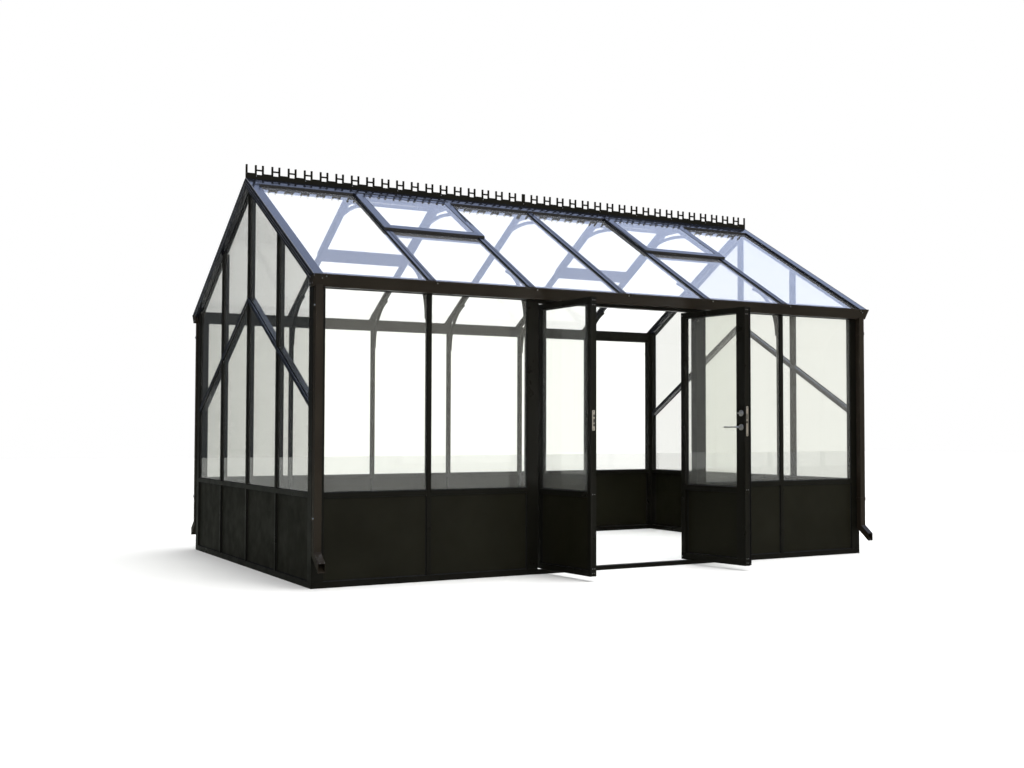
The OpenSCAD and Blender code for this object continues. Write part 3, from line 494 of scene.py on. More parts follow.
def makePiece(name, body, parts, edge=0.0, smooth=30.0, stands=()):
    # parts: (part, finish name, way to its place), where None leaves it there and several ways repeat it
    points, faces, paint, names, start = [], [], [], [], 0
    repeats = [(part, finish, way) for part, finish, ways in parts
               for way in (ways if isinstance(ways, tuple) else (ways,))]
    for part, finish, way in repeats:
        part = turnedOut(dict(part, points=way(part["points"])) if way else part)
        if finish not in names:
            names.append(finish)
        points.append(part["points"])
        for rows in part["faces"]:
            faces.extend((rows + start).tolist())
            paint.append(np.full(len(rows), names.index(finish)))
        start += len(part["points"])
    mesh = bpy.data.meshes.new(name)
    mesh.from_pydata(np.concatenate(points).tolist(), [], faces)
    for finish in names:
        mesh.materials.append(finishes[finish])
    mesh.polygons.foreach_set("material_index", np.concatenate(paint).astype(np.int32))
    mesh.validate()
    piece = bpy.data.objects.new(name, mesh)
    bpy.context.scene.collection.objects.link(piece)
    if edge:
        addBevel(piece, edge, edgePlan["pieceSharper"])
    mesh.polygons.foreach_set("use_smooth", np.ones(len(mesh.polygons), bool))
    mesh.set_sharp_from_angle(angle=math.radians(smooth))
    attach(piece, body)
    if stands:
        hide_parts(*stands)
    print(name, len(mesh.polygons), "faces")


def toBack(points):
    return points * (1, -1, 1) + (0, housePlan["width"], 0)


def toLeftGable(points):
    return points[:, [1, 0, 2]] - (housePlan["halfLength"], 0, 0)


def toRightGable(points):
    return toLeftGable(points) * (-1, 1, 1)


def toRight(points):
    return points * (-1, 1, 1)


def toRightBack(points):
    return toBack(toRight(points))


fourCorners = (None, toBack, toRight, toRightBack)
bothSlopes = (None, toBack)


# Leaves: their own frame has the pivot at the origin, the leaf along x and its inner face towards +y
leafPlan = {
    "pivot": (0.612, 0.025),
    "leftOpen": math.radians(-86.0),
    "rightOpen": math.radians(99.0),
    "inset": 0.052,
    "reach": 0.609,
    "half": 0.023,
    "low": 0.035,
    "high": 1.882,
    "outerFrame": 0.038,
    "glassOuter": -0.009,
    "glassInner": -0.005,
    "hingeStile": 0.044,
    "lockStile": 0.085,
    "topRail": 0.042,
    "bottomRail": 0.046,
    "midLow": 0.557,
    "midTop": 0.590,
    "midStep": 0.003,
    "lockX": 0.571,
    "leverHeight": 1.020,
    "turnHeight": 1.120,
}


def turnedBy(points, angle, pivotX, pivotY):
    x, y, z = points.T
    return np.stack([pivotX + x * math.cos(angle) - y * math.sin(angle),
                     pivotY + x * math.sin(angle) + y * math.cos(angle), z], axis=1)


def toLeftLeaf(points):
    return turnedBy(points, leafPlan["leftOpen"], -leafPlan["pivot"][0], leafPlan["pivot"][1])


def toRightLeaf(points):
    return turnedBy(points * (-1, 1, 1), leafPlan["rightOpen"], *leafPlan["pivot"])


# Rubber round the panes: a low bead on the glass, closed along each edge of its frame
gasketPlan = {
    "bead": [(0.0, 0.0001), (0.0045, 0.0001), (0.0045, 0.0010), (0.0022, 0.0032), (0.0, 0.0036)],
    "lip": [(-0.0005, 0.0001), (0.0050, 0.0001), (0.0046, 0.0014), (0.0018, 0.0030), (-0.0005, 0.0030)],
    "ridgeGap": 0.014,  # from the ridge flange to the end of a strip
    "innerStart": 0.040,  # the inner strips start behind the eave beam
    "ventSink": 0.002,
    "ventFlatter": 0.3,  # share of the lip's height that stands on the vents
}


def wallRuns(bars, first, last, half):
    edges = [first] + [bar + side * half for bar in bars for side in (-1, 1)] + [last]
    return list(zip(edges[0::2], edges[1::2]))


def boxCorners(low, high, bottom, top):
    return np.array([(low, bottom), (high, bottom), (high, top), (low, top)])


def gableCorners(low, high, bottomLine, topLine):
    return np.array([(low, bottomLine(low)), (high, bottomLine(high)),
                     (high, topLine(high)), (low, topLine(low))])


def wallBead(corners, depth, outwards, bead):
    # the bead of a flat outline (along the wall, up), on the outer or the inner face of the glass
    return frameLoop(np.insert(corners, 1, depth, axis=1), (0, -1 if outwards else 1, 0), bead)


def diagonalLine(offset):
    return lambda y: housePlan["diagonalTop"] - abs(y - midY) * slopeTan + offset / slopeCos


def vergeLine(y):
    mirrored = y if y < midY else housePlan["width"] - y
    return roofHeight(mirrored, housePlan["vergeDepth"])


def buildWallGaskets(plan, h):
    parts = []
    post = h["halfLength"] - h["corner"]
    levels = ((h["baseTop"], h["midLow"]), (h["midTop"], h["postTop"]))
    faces = ((True, h["capDepth"], h["wallCap"] / 2, h["diagonalCap"] / 2),
             (False, h["glassInside"], h["wallBox"] / 2, h["diagonalBox"] / 2))
    for outwards, depth, half, diagonal in faces:
        besideDoors = wallRuns([-2 * h["bay"]], -post, -h["bay"] - half, half)
        walls = [(run, (None, toRight)) for run in besideDoors]
        walls += [(run, toBack) for run in wallRuns(longBars, -post, post, half)]
        for run, ways in walls:
            for level in levels:
                bead = wallBead(boxCorners(*run, *level), depth, outwards, plan["bead"])
                parts.append((bead, "rubber", ways))
        for low, high in wallRuns(gableBars, h["corner"], h["width"] - h["corner"], half):
            outlines = [boxCorners(low, high, *levels[0]),
                        gableCorners(low, high, lambda y: h["midTop"], diagonalLine(-diagonal)),
                        gableCorners(low, high, diagonalLine(diagonal), vergeLine)]
            for outline in outlines:
                bead = wallBead(outline, depth, outwards, plan["bead"])
                parts.append((bead, "rubber", (toLeftGable, toRightGable)))
    makePiece("wallGaskets", "house", parts)


def slopeStrip(x, startY, endY, depth, profile, side, below=False):
    # a strip along the slope, its profile across the rafter and square to the glass
    path = [(x, y, roofHeight(y, depth)) for y in (startY, endY)]
    up = np.array([0, -math.sin(housePlan["pitch"]), slopeCos]) * (-1 if below else 1)
    return sweep(path, (side, 0, 0), up, profile)


def buildRoofGaskets(plan, h):
    parts = []
    outer = h["halfLength"] + h["verge"] - h["vergeCap"]
    flangeEdge = midY - h["flangeReach"]
    for index, x in enumerate([-outer] + longBars + [outer]):
        isEnd = abs(x) == outer
        cap, box = (0.0, 0.0) if isEnd else (h["rafterCap"] / 2, h["rafterBox"] / 2)
        for side in (-1, 1):
            if isEnd and x * side > 0:
                continue
            besideVent = index + (side - 1) // 2 in (1, 4)  # counted in bays, from the left
            stop = h["ventStart"] if besideVent else flangeEdge - plan["ridgeGap"]
            strips = [slopeStrip(x + side * cap, -h["eaveReach"], stop, h["capDepth"], plan["lip"], side),
                      slopeStrip(x + side * box, plan["innerStart"], stop, h["glassInside"], plan["lip"],
                                 side, below=True)]
            parts += [(strip, "rubber", bothSlopes) for strip in strips]
    flatLip = [(a, plan["ventFlatter"] * b) for a, b in plan["lip"]]
    for middle in ventMiddles:
        half = (h["bay"] + h["rafterCap"]) / 2 - h["ventStile"]
        low, high = h["ventStart"] + h["ventRail"], flangeEdge - h["ventRail"]
        corners = [(middle + side * half, y, roofHeight(y, plan["ventSink"] - h["ventThick"]))
                   for side, y in ((-1, low), (1, low), (1, high), (-1, high))]
        bead = frameLoop(corners, (0, -math.sin(h["pitch"]), slopeCos), flatLip)
        parts.append((bead, "rubber", bothSlopes))
    makePiece("roofGaskets", "house", parts)


def leafOutlines(p):
    left, right = p["outerFrame"] - p["inset"], p["reach"] - p["outerFrame"]
    outer = [boxCorners(left, right, p["low"] + p["outerFrame"], p["midLow"]),
             boxCorners(left, right, p["midTop"], p["high"] - p["outerFrame"])]
    left, right = p["hingeStile"] - p["inset"], p["reach"] - p["lockStile"]
    inner = [boxCorners(left, right, p["low"] + p["bottomRail"], p["midLow"] - p["midStep"]),
             boxCorners(left, right, p["midTop"] + p["midStep"], p["high"] - p["topRail"])]
    return outer, inner


# Seals of a leaf: rubber round its panes and a brush strip in its closing edge, top and foot
sealPlan = {
    "tuft": [(-0.0025, -0.0002), (0.0025, -0.0002), (0.0015, 0.00192), (0, 0.0024), (-0.0015, 0.00192)],
    "tuftDepth": -0.015,
    "endGap": 0.004,
    "lip": [(-0.016, 0), (0.012, 0), (0.012, 0.00112), (0, 0.0028), (-0.016, 0.0028)],
    "lipSeat": 0.0004,
}


def buildLeafSeals(name, body, way, p, plan, hasLip):
    outer, inner = leafOutlines(p)
    bead = gasketPlan["bead"]
    parts = [(wallBead(corners, p["glassOuter"], True, bead), "rubber", way) for corners in outer]
    parts += [(wallBead(corners, p["glassInner"], False, bead), "rubber", way) for corners in inner]
    depth, gap = plan["tuftDepth"], plan["endGap"]
    hingeEnd, lockEnd = gap - p["inset"], p["reach"] - gap
    runs = [((p["reach"], depth, p["low"] + gap), (p["reach"], depth, p["high"] - gap), (1, 0, 0)),
            ((hingeEnd, depth, p["high"]), (lockEnd, depth, p["high"]), (0, 0, 1)),
            ((hingeEnd, depth, p["low"]), (lockEnd, depth, p["low"]), (0, 0, -1))]
    for start, end, out in runs:
        parts.append((sweep([start, end], (0, 1, 0), out, plan["tuft"]), "brushPile", way))
    if hasLip:
        face = -p["half"] - plan["lipSeat"]
        ends = [(p["reach"], face, p["low"] + gap), (p["reach"], face, p["high"] - gap)]
        parts.append((sweep(ends, (1, 0, 0), (0, -1, 0), plan["lip"]), "rubber", way))
    makePiece(name, body, parts)


# Small screw: a low domed head with a round socket
screwPlan = {
    "radii": [0.0046, 0.0046, 0.0040, 0.0024, 0.0019, 0.0017],
    "heights": [-0.0005, 0.0009, 0.0019, 0.0024, 0.0023, 0.0010],
    "facets": 10,
    "plateHeads": (0.0004, 0.7),  # sink and size in the plates of the leaves' edges
    "rafterEnds": ((-0.062, 1.923), (-0.096, 1.968), (-0.014, 1.925), (-0.014, 1.966)),  # depth, height
    "gutterCorners": ((-2.2575, 1.9536), (-2.2329, 1.965)),  # along the wall, height
    "gutterFeet": (0.012, 1.9655),  # to the right of a bar, height
    "capFeet": (0.014, -0.030),  # to each side of a rafter's middle, depth
    "barEnds": (0.062, 1.880),
    "gussets": (0.008, 0.030, 0.100),  # off the bar, to each side of the ridge, below it
    "cresting": (6, 0.372, 0.005, 2.888, 0.8),  # to each side, spacing, off the middle, height, size
}


def screwsAt(places, out, up=(0, 0, 1), size=1.0):
    radii, heights = np.array(screwPlan["radii"]) * size, np.array(screwPlan["heights"]) * size
    return placed(lathe(radii, heights, screwPlan["facets"]), places, axesFor(out, up))


def plateScrews(p, heights):
    sink, size = screwPlan["plateHeads"]
    return screwsAt([(p["reach"] - sink, 0, z) for z in heights], (1, 0, 0), size=size)


def buildHouseScrews(plan, h):
    lean = (h["gutterReach"] - h["gutterFloor"]) / (h["gutterTop"] - h["postTop"])
    gutterOut, slopeOut = (0, -1, -lean), (0, -math.sin(h["pitch"]), slopeCos)

    def onGutter(x, z):
        return (x, -h["gutterFloor"] - (z - h["postTop"]) * lean, z)

    ends = [(-h["halfLength"] - h["verge"], y, z) for y, z in plan["rafterEnds"]]
    corners = [onGutter(x, z) for x, z in plan["gutterCorners"]]
    parts = [(screwsAt(ends, (-1, 0, 0)), "zinc", fourCorners),
             (screwsAt(corners, gutterOut), "zinc", fourCorners)]
    right, height = plan["gutterFeet"]
    feet = [onGutter(x + right, height) for x in longBars]
    across, depth = plan["capFeet"]
    capFeet = [(x + side * across, depth, roofHeight(depth)) for x in longBars for side in (-1, 1)]
    barEnds = [(x, 0.0, z) for x in (-2 * h["bay"], 2 * h["bay"]) for z in plan["barEnds"]]
    count, spacing, off, height, size = plan["cresting"]
    cresting = [(x, midY - off, height) for x in np.arange(-count, count + 1) * spacing]
    parts += [(screwsAt(feet, gutterOut), "zinc", bothSlopes),
              (screwsAt(capFeet, slopeOut, (0, 1, 0)), "roof_frame", bothSlopes),
              (screwsAt(barEnds, (0, -1, 0)), "wall_frame", bothSlopes),
              (screwsAt(cresting, (0, -1, 0), size=size), "zinc", bothSlopes)]
    off, across, below = plan["gussets"]
    for out in (-1, 1):
        gussets = [(x + out * off, midY + side * across, roofHeight(midY) - below)
                   for x in longBars for side in (-1, 1)]
        parts.append((screwsAt(gussets, (out, 0, 0)), "zinc", None))
    makePiece("houseScrews", "house", parts, smooth=40.0)


# Eave beams: a box whose outer web stands up to the glass, so the bed behind it lies out of sight
beamPlan = {
    "depth": 0.040,
    "web": 0.004,
    "bedDrop": 0.011,
    "seat": 0.0001,  # gap below what lies on the beam
}


def buildEaveBeams(plan, h):
    # one profile in depth and height, carried along the wall, and a lower one under each end rafter
    post, depth, web = h["postTop"], plan["depth"], plan["web"]
    bed = roofHeight(0, h["glassInside"]) - plan["bedDrop"]
    underGlass, underRafter = h["glassInside"] + plan["seat"], h["vergeDepth"] + plan["seat"]
    tall = [(0, post), (depth, post), (depth, bed), (web, bed), (web, roofHeight(web, underGlass)),
            (0, roofHeight(0, underGlass))]
    low = [(0, post), (depth, post), (depth, roofHeight(depth, underRafter)),
           (0, roofHeight(0, underRafter))]
    inner = h["halfLength"] + h["verge"] - h["vergeCap"]
    main = sweep([(-inner, 0, 0), (inner, 0, 0)], (0, 1, 0), (0, 0, 1), tall)
    end = sweep([(-h["halfLength"], 0, 0), (-inner, 0, 0)], (0, 1, 0), (0, 0, 1), low)
    parts = [(main, "wall_frame", bothSlopes), (end, "wall_frame", fourCorners)]
    makePiece("eaveBeams", "house", parts, edge=0.0009, stands=("eave_beams",))


# Verge beads: a round bead along the outer upper edge of each end rafter, and one beside each groove, in
# lighter grey as painted highlight lines
vergePlan = {
    "rim": {"radius": 0.0030, "inset": 0.0012, "start": -0.078, "ridgeGap": 0.010},
    "groove": {"radius": 0.0016, "inset": 0.0006, "start": 0.001, "ridgeGap": 0.0},
    "grooves": (0.020, 0.040),
    "facets": 10,
}


def buildVergeHighlightBeads(plan, h):
    lines = [(plan["rim"]["inset"] - h["flangeThick"], plan["rim"])]
    lines += [(depth, plan["groove"]) for depth in plan["grooves"]]
    parts = []
    for depth, line in lines:
        x = line["inset"] - h["halfLength"] - h["verge"]
        path = [(x, y, roofHeight(y, depth)) for y in (line["start"], midY - line["ridgeGap"])]
        ring = circleOutline(plan["facets"], line["radius"])
        bead = sweep(path, (1, 0, 0), (0, -math.sin(h["pitch"]), slopeCos), ring)
        parts.append((bead, "paintedRimHighlight", fourCorners))
    makePiece("vergeHighlightBeads", "house", parts)


# Gutter trim: a rolled hem along the lip and a folded rim on each end plate
gutterPlan = {
    "hem": 0.0042,
    "hemIn": (0.9, 0.4),  # shares of its radius that the hem lies inside the lip and under it
    "hemShort": 0.002,
    "facets": 12,
    "rim": [(0, -0.001), (0.003, -0.001), (0.003, 0.0012), (0, 0.0012)],
    "rimSeat": (0.001, 0.002, 0.004),
}


def buildGutterTrim(plan, h):
    end = h["halfLength"] + h["verge"]
    lip, top, low = h["gutterReach"], h["gutterTop"], h["postTop"]
    y, z = plan["hem"] * plan["hemIn"][0] - lip, top - plan["hem"] * plan["hemIn"][1]
    path = [(side * (end - plan["hemShort"]), y, z) for side in (-1, 1)]
    hem = sweep(path, (0, 1, 0), (0, 0, 1), circleOutline(plan["facets"], plan["hem"]))
    near, wide, far = plan["rimSeat"]
    outline = [(-end, -near, low + near), (-end, -near, top - far),
               (-end, -lip + wide, top - near), (-end, -h["gutterFloor"] - near, low + near)]
    rim = frameLoop(outline, (-1, 0, 0), plan["rim"])
    parts = [(hem, "rainware", bothSlopes), (rim, "rainware", fourCorners)]
    makePiece("gutterTrim", "house", parts, edge=0.0004)


# Pipe clips: a band round the pipe at each stand-off, with a domed bolt on its outer side
clipPlan = {
    "heights": (0.443, 1.785),
    "band": 0.024,
    "thick": 0.0018,
    "grip": 0.0005,  # how far the band reaches into the pipe
    "boltDepth": -0.054,
    "bolt": ([0.0070, 0.0070, 0.0062, 0.0040, 0.0034, 0.0030],  # radii, heights, facets
             [0, 0.0035, 0.0055, 0.0064, 0.0060, 0.0040], 14),
}


def buildPipeClips(plan, h):
    parts = []
    x0 = -h["halfLength"] - h["pipeOut"]
    x1, y1 = x0 + h["pipeWidth"], -h["pipeGap"]
    y0 = y1 - h["pipeWidth"]
    wide, thick, grip = plan["band"], plan["thick"], plan["grip"]
    profile = [(grip, 0), (grip, wide), (-thick, wide), (-thick, 0)]
    bolt = lathe(*plan["bolt"])
    for height in plan["heights"]:
        low = height - wide / 2
        band = frameLoop([(x0, y0, low), (x1, y0, low), (x1, y1, low), (x0, y1, low)], (0, 0, 1), profile)
        head = placed(bolt, [(x0 - thick, plan["boltDepth"], height)], axesFor((-1, 0, 0)))
        parts += [(band, "rainware", fourCorners), (head, "zinc", fourCorners)]
    makePiece("pipeClips", "house", parts, edge=0.0004)


# Vent hinges: a round bead under the ridge flange, cut into knuckles
hingePlan = {
    "radius": 0.0055,
    "knuckles": 7,
    "gap": 0.002,
    "round": 0.0008,
    "facets": 12,
    "endGap": 0.020,  # what the row leaves of the vent's width
    "startShift": 0.02,  # in knuckles
    "ridgeGap": 0.004,
    "sink": 0.001,
}


def buildVentHinges(plan, h):
    # knuckle k of n fills its share of the vent's width, with a thin gap on each side
    span = h["bay"] + h["rafterCap"] - plan["endGap"]
    y = midY - h["flangeReach"] - plan["ridgeGap"]
    z = roofHeight(y, -h["ventThick"]) - plan["sink"]
    share = span / plan["knuckles"]
    radius, curve, long = plan["radius"], plan["round"], share - plan["gap"]
    heights = [0, curve, long - curve, long]
    knuckle = lathe([radius - curve, radius, radius, radius - curve], heights, plan["facets"])
    parts = []
    for middle in ventMiddles:
        start = middle - span / 2 + plan["startShift"] * share
        places = [(start + k * share, y, z) for k in range(plan["knuckles"])]
        parts.append((placed(knuckle, places, axesFor((1, 0, 0))), "roof_frame", bothSlopes))
    makePiece("ventHinges", "house", parts, smooth=40.0)


# Leaf fittings: screws in the closing edge and at the pivots, and a bearing ring on each pivot
leafFitPlan = {
    "edgeHeights": (0.055, 0.085, 0.5735, 1.830, 1.862),
    "edgeDepths": (-0.007, 0.010),
    "edgeSize": 0.72,
    "ring": ([0.0150, 0.0150, 0.0138, 0.0092], [0, 0.0022, 0.0032, 0.0032], 28),
    "pivotScrews": (0.012, 0.022),  # from the hinge edge, from the top or foot
    "pivotSize": 0.9,
}


def buildLeafFittings(name, body, way, p, plan):
    edges = [(p["reach"], y, z) for z in plan["edgeHeights"] for y in plan["edgeDepths"]]
    parts = [(screwsAt(edges, (1, 0, 0), size=plan["edgeSize"]), "zinc", way)]
    ring = lathe(*plan["ring"])
    for height, out in ((p["high"], 1), (p["low"], -1)):
        parts.append((placed(ring, [(0, 0, height)], axesFor((0, 0, out), (0, 1, 0))), "zinc", way))
    across, step = plan["pivotScrews"]
    pivot = [(across - p["inset"], p["half"], z) for z in (p["low"] + step, p["high"] - step)]
    parts.append((screwsAt(pivot, (0, 1, 0), size=plan["pivotSize"]), "zinc", way))
    makePiece(name, body, parts, smooth=40.0)


# Roses: a turned disc in two steps round the spindle
rosePlan = {
    "radii": [0.0060, 0.0225, 0.0225, 0.0217, 0.0196, 0.0188, 0.0140, 0.0112, 0.0104, 0.0060],
    "heights": [0.0, 0.0, 0.0036, 0.0050, 0.0056, 0.0066, 0.0070, 0.0070, 0.0062, 0.0062],
    "facets": 48,
}


# Lock: edge plate with round ends, latch and bolt in it, roses and the key cylinder
lockPlan = {
    "plate": (0.022, 0.215, 0.0108, 8),  # width, height, corner radius, corner steps
    "plateLayers": ([0, 0, 0.0004], [0, 0.0017, 0.0021]),  # insets, heights
    "plateLow": 0.955,
    "plateSink": 0.002,
    "latch": (0.014, 0.017, 1.056, 0.0028),  # width, height, place up the leaf, shift to the inner face
    "bolt": (0.010, 0.040, 1.096, 0.0030),
    "blockCorner": (0.0012, 3),
    "blockLayers": ([0, 0, 0.0006], [0, 0.0008, 0.0012]),
    "blockSink": 0.0006,
    "screws": (0.967, 1.158),
    "cylinder": ([0.0085, 0.0085, 0.0079, 0.0024, 0.0022, 0.0020],
                 [0, 0.0086, 0.0092, 0.0092, 0.0080, 0.0060], 32),
}


def buildLock(plan, p):
    edgeAxes = axesFor((1, 0, 0))
    plate = stackOutline(roundedOutline(*plan["plate"]), *plan["plateLayers"])
    place = (p["reach"] - plan["plateSink"], 0, plan["plateLow"] + plan["plate"][1] / 2)
    parts = [(placed(plate, [place], edgeAxes), "sunlitPlateSteel", toRightLeaf)]
    for wide, tall, z, shift in (plan["latch"], plan["bolt"]):
        block = stackOutline(roundedOutline(wide, tall, *plan["blockCorner"]), *plan["blockLayers"])
        place = (p["reach"] - plan["blockSink"], shift, z)
        parts.append((placed(block, [place], edgeAxes), "boltSteel", toRightLeaf))
    parts.append((plateScrews(p, plan["screws"]), "boltSteel", toRightLeaf))
    # the profile of a rose closes on itself round the axis, so it has no end caps
    rose = lathe(rosePlan["radii"], rosePlan["heights"], rosePlan["facets"])
    rose["faces"] = [faceGrid(len(rosePlan["radii"]), rosePlan["facets"], True, True)]
    for side in (-1, 1):
        places = [(p["lockX"], side * p["half"], z) for z in (p["leverHeight"], p["turnHeight"])]
        parts.append((placed(rose, places, axesFor((0, side, 0))), "fittings", toRightLeaf))
    barrel = lathe(*plan["cylinder"])
    place = (p["lockX"], -p["half"], p["turnHeight"])
    parts.append((placed(barrel, [place], axesFor((0, -1, 0))), "fittings", toRightLeaf))
    makePiece("lockSet", "right_door", parts, smooth=35.0, stands=("lock_case",))


# Strike plate: a flat strip with rounded corners and three slots for latch and bolts
strikePlan = {
    "width": 0.022,
    "length": 0.135,
    "radius": 0.006,
    "cornerSteps": 6,
    "low": 0.995,
    "thick": 0.002,
    "proud": 0.0001,
    "slotAcross": (-0.0012, 0.0097),
    "slots": ((-0.0305, 0.017), (-0.002, 0.027), (0.0305, 0.017)),  # middle, from the plate's, and height
    "pocket": (-0.0021, -0.0012),  # depths of the near-black strip behind the slots, painted shade of the hollow there
    "pocketShort": 0.012,
    "screws": (-0.057, 0.057),
}


def slottedPlate(plan):
    # point(k, i, j) = (u(i) * half(j), z(j), k * thick), where half(j) follows the corner circles
    half, long, radius = plan["width"] / 2, plan["length"] / 2, plan["radius"]
    turn = np.linspace(0, np.pi / 2, plan["cornerSteps"])
    endZ, endHalf = radius * (1 - np.cos(turn)), half - radius + radius * np.sin(turn)
    slotZ = np.array([middle + sign * tall / 2 for middle, tall in plan["slots"] for sign in (-1, 1)])
    z = np.concatenate([endZ - long, slotZ, (long - endZ)[::-1]])
    halves = np.concatenate([endHalf, np.full(len(slotZ), half), endHalf[::-1]])
    u = np.array([-1.0, plan["slotAcross"][0] / half, plan["slotAcross"][1] / half, 1.0])
    k, i, j = np.meshgrid(np.arange(2), np.arange(len(u)), np.arange(len(z)), indexing="ij")
    points = np.stack([u[i] * halves[j], z[j], k * plan["thick"]], axis=-1).reshape(-1, 3)
    kept = np.ones((len(u) - 1, len(z) - 1), bool)
    kept[1, len(endZ):len(endZ) + len(slotZ):2] = False

    def at(layer, rows, columns):
        return (layer * len(u) + rows) * len(z) + columns

    rows, columns = np.nonzero(kept)
    top, foot = ([at(layer, rows, columns), at(layer, rows + 1, columns), at(layer, rows + 1, columns + 1),
                  at(layer, rows, columns + 1)] for layer in (1, 0))
    faces = [np.stack(top, axis=1), np.stack(foot[::-1], axis=1)]
    # a wall stands between each kept cell and an open one beside it, along the rows or the columns
    padded = np.pad(kept, 1)
    borders = ((padded[1:-1, 1:], padded[1:-1, :-1], 1, 0), (padded[:-1, 1:-1], padded[1:, 1:-1], 0, 1))
    for one, other, down, across in borders:
        for edge, turned in ((one & ~other, False), (other & ~one, True)):
            rows, columns = np.nonzero(edge)
            farRows, farColumns = rows + down, columns + across
            wall = [at(0, rows, columns), at(0, farRows, farColumns),
                    at(1, farRows, farColumns), at(1, rows, columns)]
            faces.append(np.stack(wall[::-1] if turned else wall, axis=1))
    return {"points": points, "faces": faces}


def buildStrike(plan, p):
    # the plate's own x runs across the leaf's edge, so its sides face the two faces of the leaf
    middle = plan["low"] + plan["length"] / 2
    place = (p["reach"] - plan["thick"] + plan["proud"], 0, middle)
    plate = placed(slottedPlate(plan), [place], [(0, 1, 0), (0, 0, 1), (1, 0, 0)])
    heads = plateScrews(p, [middle + z for z in plan["screws"]])
    (low, high), (deep, near) = plan["slotAcross"], plan["pocket"]
    half = plan["length"] / 2 - plan["pocketShort"]
    path = [(p["reach"], 0, middle - half), (p["reach"], 0, middle + half)]
    pocket = sweep(path, (0, 1, 0), (1, 0, 0), [(low, deep), (low, near), (high, near), (high, deep)])
    parts = [(plate, "sunlitPlateSteel", toLeftLeaf), (heads, "boltSteel", toLeftLeaf),
             (pocket, "paintedPocketShade", toLeftLeaf)]
    makePiece("strikePlate", "left_door", parts, edge=0.0003, stands=("strike_plate",))


# Lever: an oval bar that leaves the rose, turns along the leaf and ends rounded, on both faces
leverPlan = {
    "start": 0.0072,
    "standOff": 0.046,
    "length": 0.130,
    "bend": 0.015,
    "neck": (0.0080, 0.0080),
    "grip": (0.0075, 0.0052),  # half depth and half height
    "tip": 0.008,
    "outSteps": 6,
    "steps": 8,  # along the grip, and round its tip
    "bendSteps": 11,
    "facets": 24,
    "spindle": (0.005, 0.010, 16),  # radius, reach past the leaf's faces, facets
}


def leverGrip(plan, side):
    # path: straight out of the rose, a quarter circle, then along the leaf, from a round section to an oval
    outReach, bend, run = plan["standOff"] - plan["bend"], plan["bend"], plan["length"] - plan["tip"]
    out = np.linspace(plan["start"], outReach, plan["outSteps"])
    turn = np.linspace(0, np.pi / 2, plan["bendSteps"])[1:]
    straight = np.linspace(bend, run, plan["steps"])[1:]
    tipTurn = np.linspace(0, np.pi / 2, plan["steps"])[1:-1]
    level = np.ones(len(straight) + len(tipTurn))
    tip = run + plan["tip"] * np.sin(tipTurn)
    along = np.concatenate([0 * out, bend * (1 - np.cos(turn)), straight, tip])
    away = np.concatenate([out, outReach + bend * np.sin(turn), plan["standOff"] * level])
    heading = np.concatenate([0 * out, turn, np.pi / 2 * level])
    path = np.stack([-along, away, 0 * along], axis=1)
    across = np.stack([np.cos(heading), np.sin(heading), 0 * heading], axis=1)
    blend = np.clip((along + away - plan["start"]) / (outReach + bend), 0, 1)[:, None]
    size = np.array(plan["neck"]) * (1 - blend) + np.array(plan["grip"]) * blend
    size[-len(tipTurn):] *= np.cos(tipTurn)[:, None]
    part = sweep(path, across, (0, 0, 1), circleOutline(plan["facets"]), size)
    return {"points": part["points"] * (1, side, 1), "faces": part["faces"]}


def buildLever(plan, p):
    parts = []
    for side in (-1, 1):
        grip = leverGrip(plan, side)
        grip["points"] = grip["points"] + (p["lockX"], side * p["half"], p["leverHeight"])
        parts.append((grip, "fittings", toRightLeaf))
    radius, past, facets = plan["spindle"]
    reach = p["half"] + past
    spindle = lathe([radius, radius], [-reach, reach], facets)
    place = (p["lockX"], 0, p["leverHeight"])
    parts.append((placed(spindle, [place], axesFor((0, 1, 0))), "fittings", toRightLeaf))
    makePiece("leverPair", "lever", parts, smooth=40.0, stands=("lever_handle",))


# Thumb turn: a stepped collar with a flat oval grip, lying level at rest
turnPlan = {
    "collar": ([0.0100, 0.0100, 0.0092, 0.0074, 0.0070], [0.0073, 0.0098, 0.0108, 0.0112, 0.0122], 32),
    "grip": (0.030, 0.0085, 0.0042, 7),
    "gripLayers": ([0.0012, 0.0, 0.0, 0.0006, 0.0018], [0.0112, 0.0130, 0.0235, 0.0258, 0.0268]),
    "stem": (0.005, 0.008, 16),  # radius, reach past the leaf's face, facets
}


def buildThumbTurn(plan, p):
    collar = lathe(*plan["collar"])
    grip = stackOutline(roundedOutline(*plan["grip"]), *plan["gripLayers"])
    radius, past, facets = plan["stem"]
    stem = lathe([radius, radius], [-p["half"], past], facets)
    place = (p["lockX"], p["half"], p["turnHeight"])
    parts = [(placed(part, [place], axesFor((0, 1, 0))), "fittings", toRightLeaf)
             for part in (collar, grip, stem)]
    makePiece("thumbTurnKnob", "turn", parts, smooth=40.0, stands=("thumb_turn",))


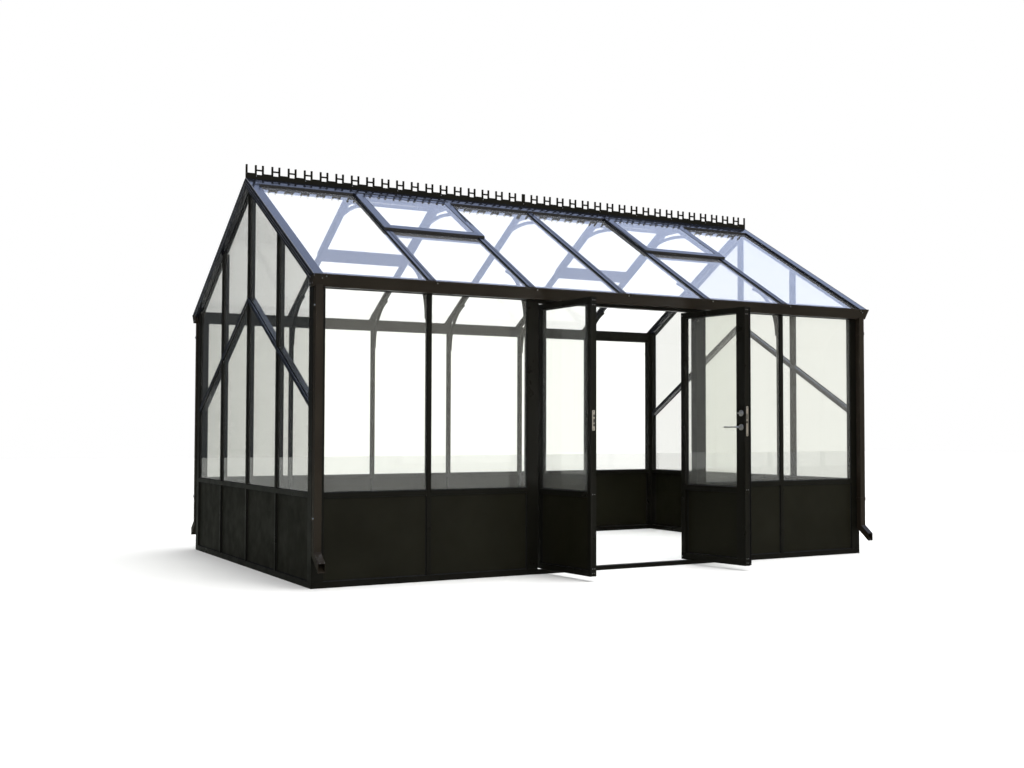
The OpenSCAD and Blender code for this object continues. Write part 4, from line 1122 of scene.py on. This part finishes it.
buildWallGaskets(gasketPlan, housePlan)
buildRoofGaskets(gasketPlan, housePlan)
buildLeafSeals("leftLeafSeals", "left_door", toLeftLeaf, leafPlan, sealPlan, False)
buildLeafSeals("rightLeafSeals", "right_door", toRightLeaf, leafPlan, sealPlan, True)
buildHouseScrews(screwPlan, housePlan)
buildEaveBeams(beamPlan, housePlan)
buildVergeHighlightBeads(vergePlan, housePlan)
buildGutterTrim(gutterPlan, housePlan)
buildPipeClips(clipPlan, housePlan)
buildVentHinges(hingePlan, housePlan)
buildLeafFittings("leftLeafFittings", "left_door", toLeftLeaf, leafPlan, leafFitPlan)
buildLeafFittings("rightLeafFittings", "right_door", toRightLeaf, leafPlan, leafFitPlan)
buildLock(lockPlan, leafPlan)
buildStrike(strikePlan, leafPlan)
buildLever(leverPlan, leafPlan)
buildThumbTurn(turnPlan, leafPlan)
print("pieces built")


# Floor: one wide pale sheet just below the base, which the gloss mirrors darker, like turf
floorPlan = {
    "color": (0.96, 0.96, 0.955),
    "lighter": 1.04,
    "cloud": 0.8,
    "mirrored": (0.16, 0.17, 0.15),
    "rough": 0.8,
    "reach": 40.0,
    "cells": 8,
    "drop": 0.0005,
}


def addFloor(plan):
    line = np.linspace(-plan["reach"], plan["reach"], plan["cells"] + 1)
    x, y = np.meshgrid(line, line, indexing="ij")
    points = np.stack([x, y, np.full_like(x, -plan["drop"])], axis=-1).reshape(-1, 3)
    sheet = bpy.data.meshes.new("paleFloor")
    sheet.from_pydata(points.tolist(), [], faceGrid(len(line), len(line), False, False).tolist())
    material, tree, shader, place = newMaterial("floorPaint")
    lighter = tuple(min(1.0, plan["lighter"] * part) for part in plan["color"])
    seen = addColorMix(tree, addNoise(tree, place, plan["cloud"]), plan["color"], lighter)
    path = tree.nodes.new("ShaderNodeLightPath")
    seen = addColorMix(tree, path.outputs["Is Glossy Ray"], seen, plan["mirrored"])
    seen = addColorMix(tree, path.outputs["Is Transmission Ray"], seen, plan["color"])
    tree.links.new(seen, shader.inputs["Base Color"])
    shader.inputs["Roughness"].default_value = plan["rough"]
    shader.inputs["Specular IOR Level"].default_value = 0.0
    sheet.materials.append(material)
    floor = bpy.data.objects.new("paleFloor", sheet)
    bpy.context.scene.collection.objects.link(floor)


addFloor(floorPlan)
print("scene finished")
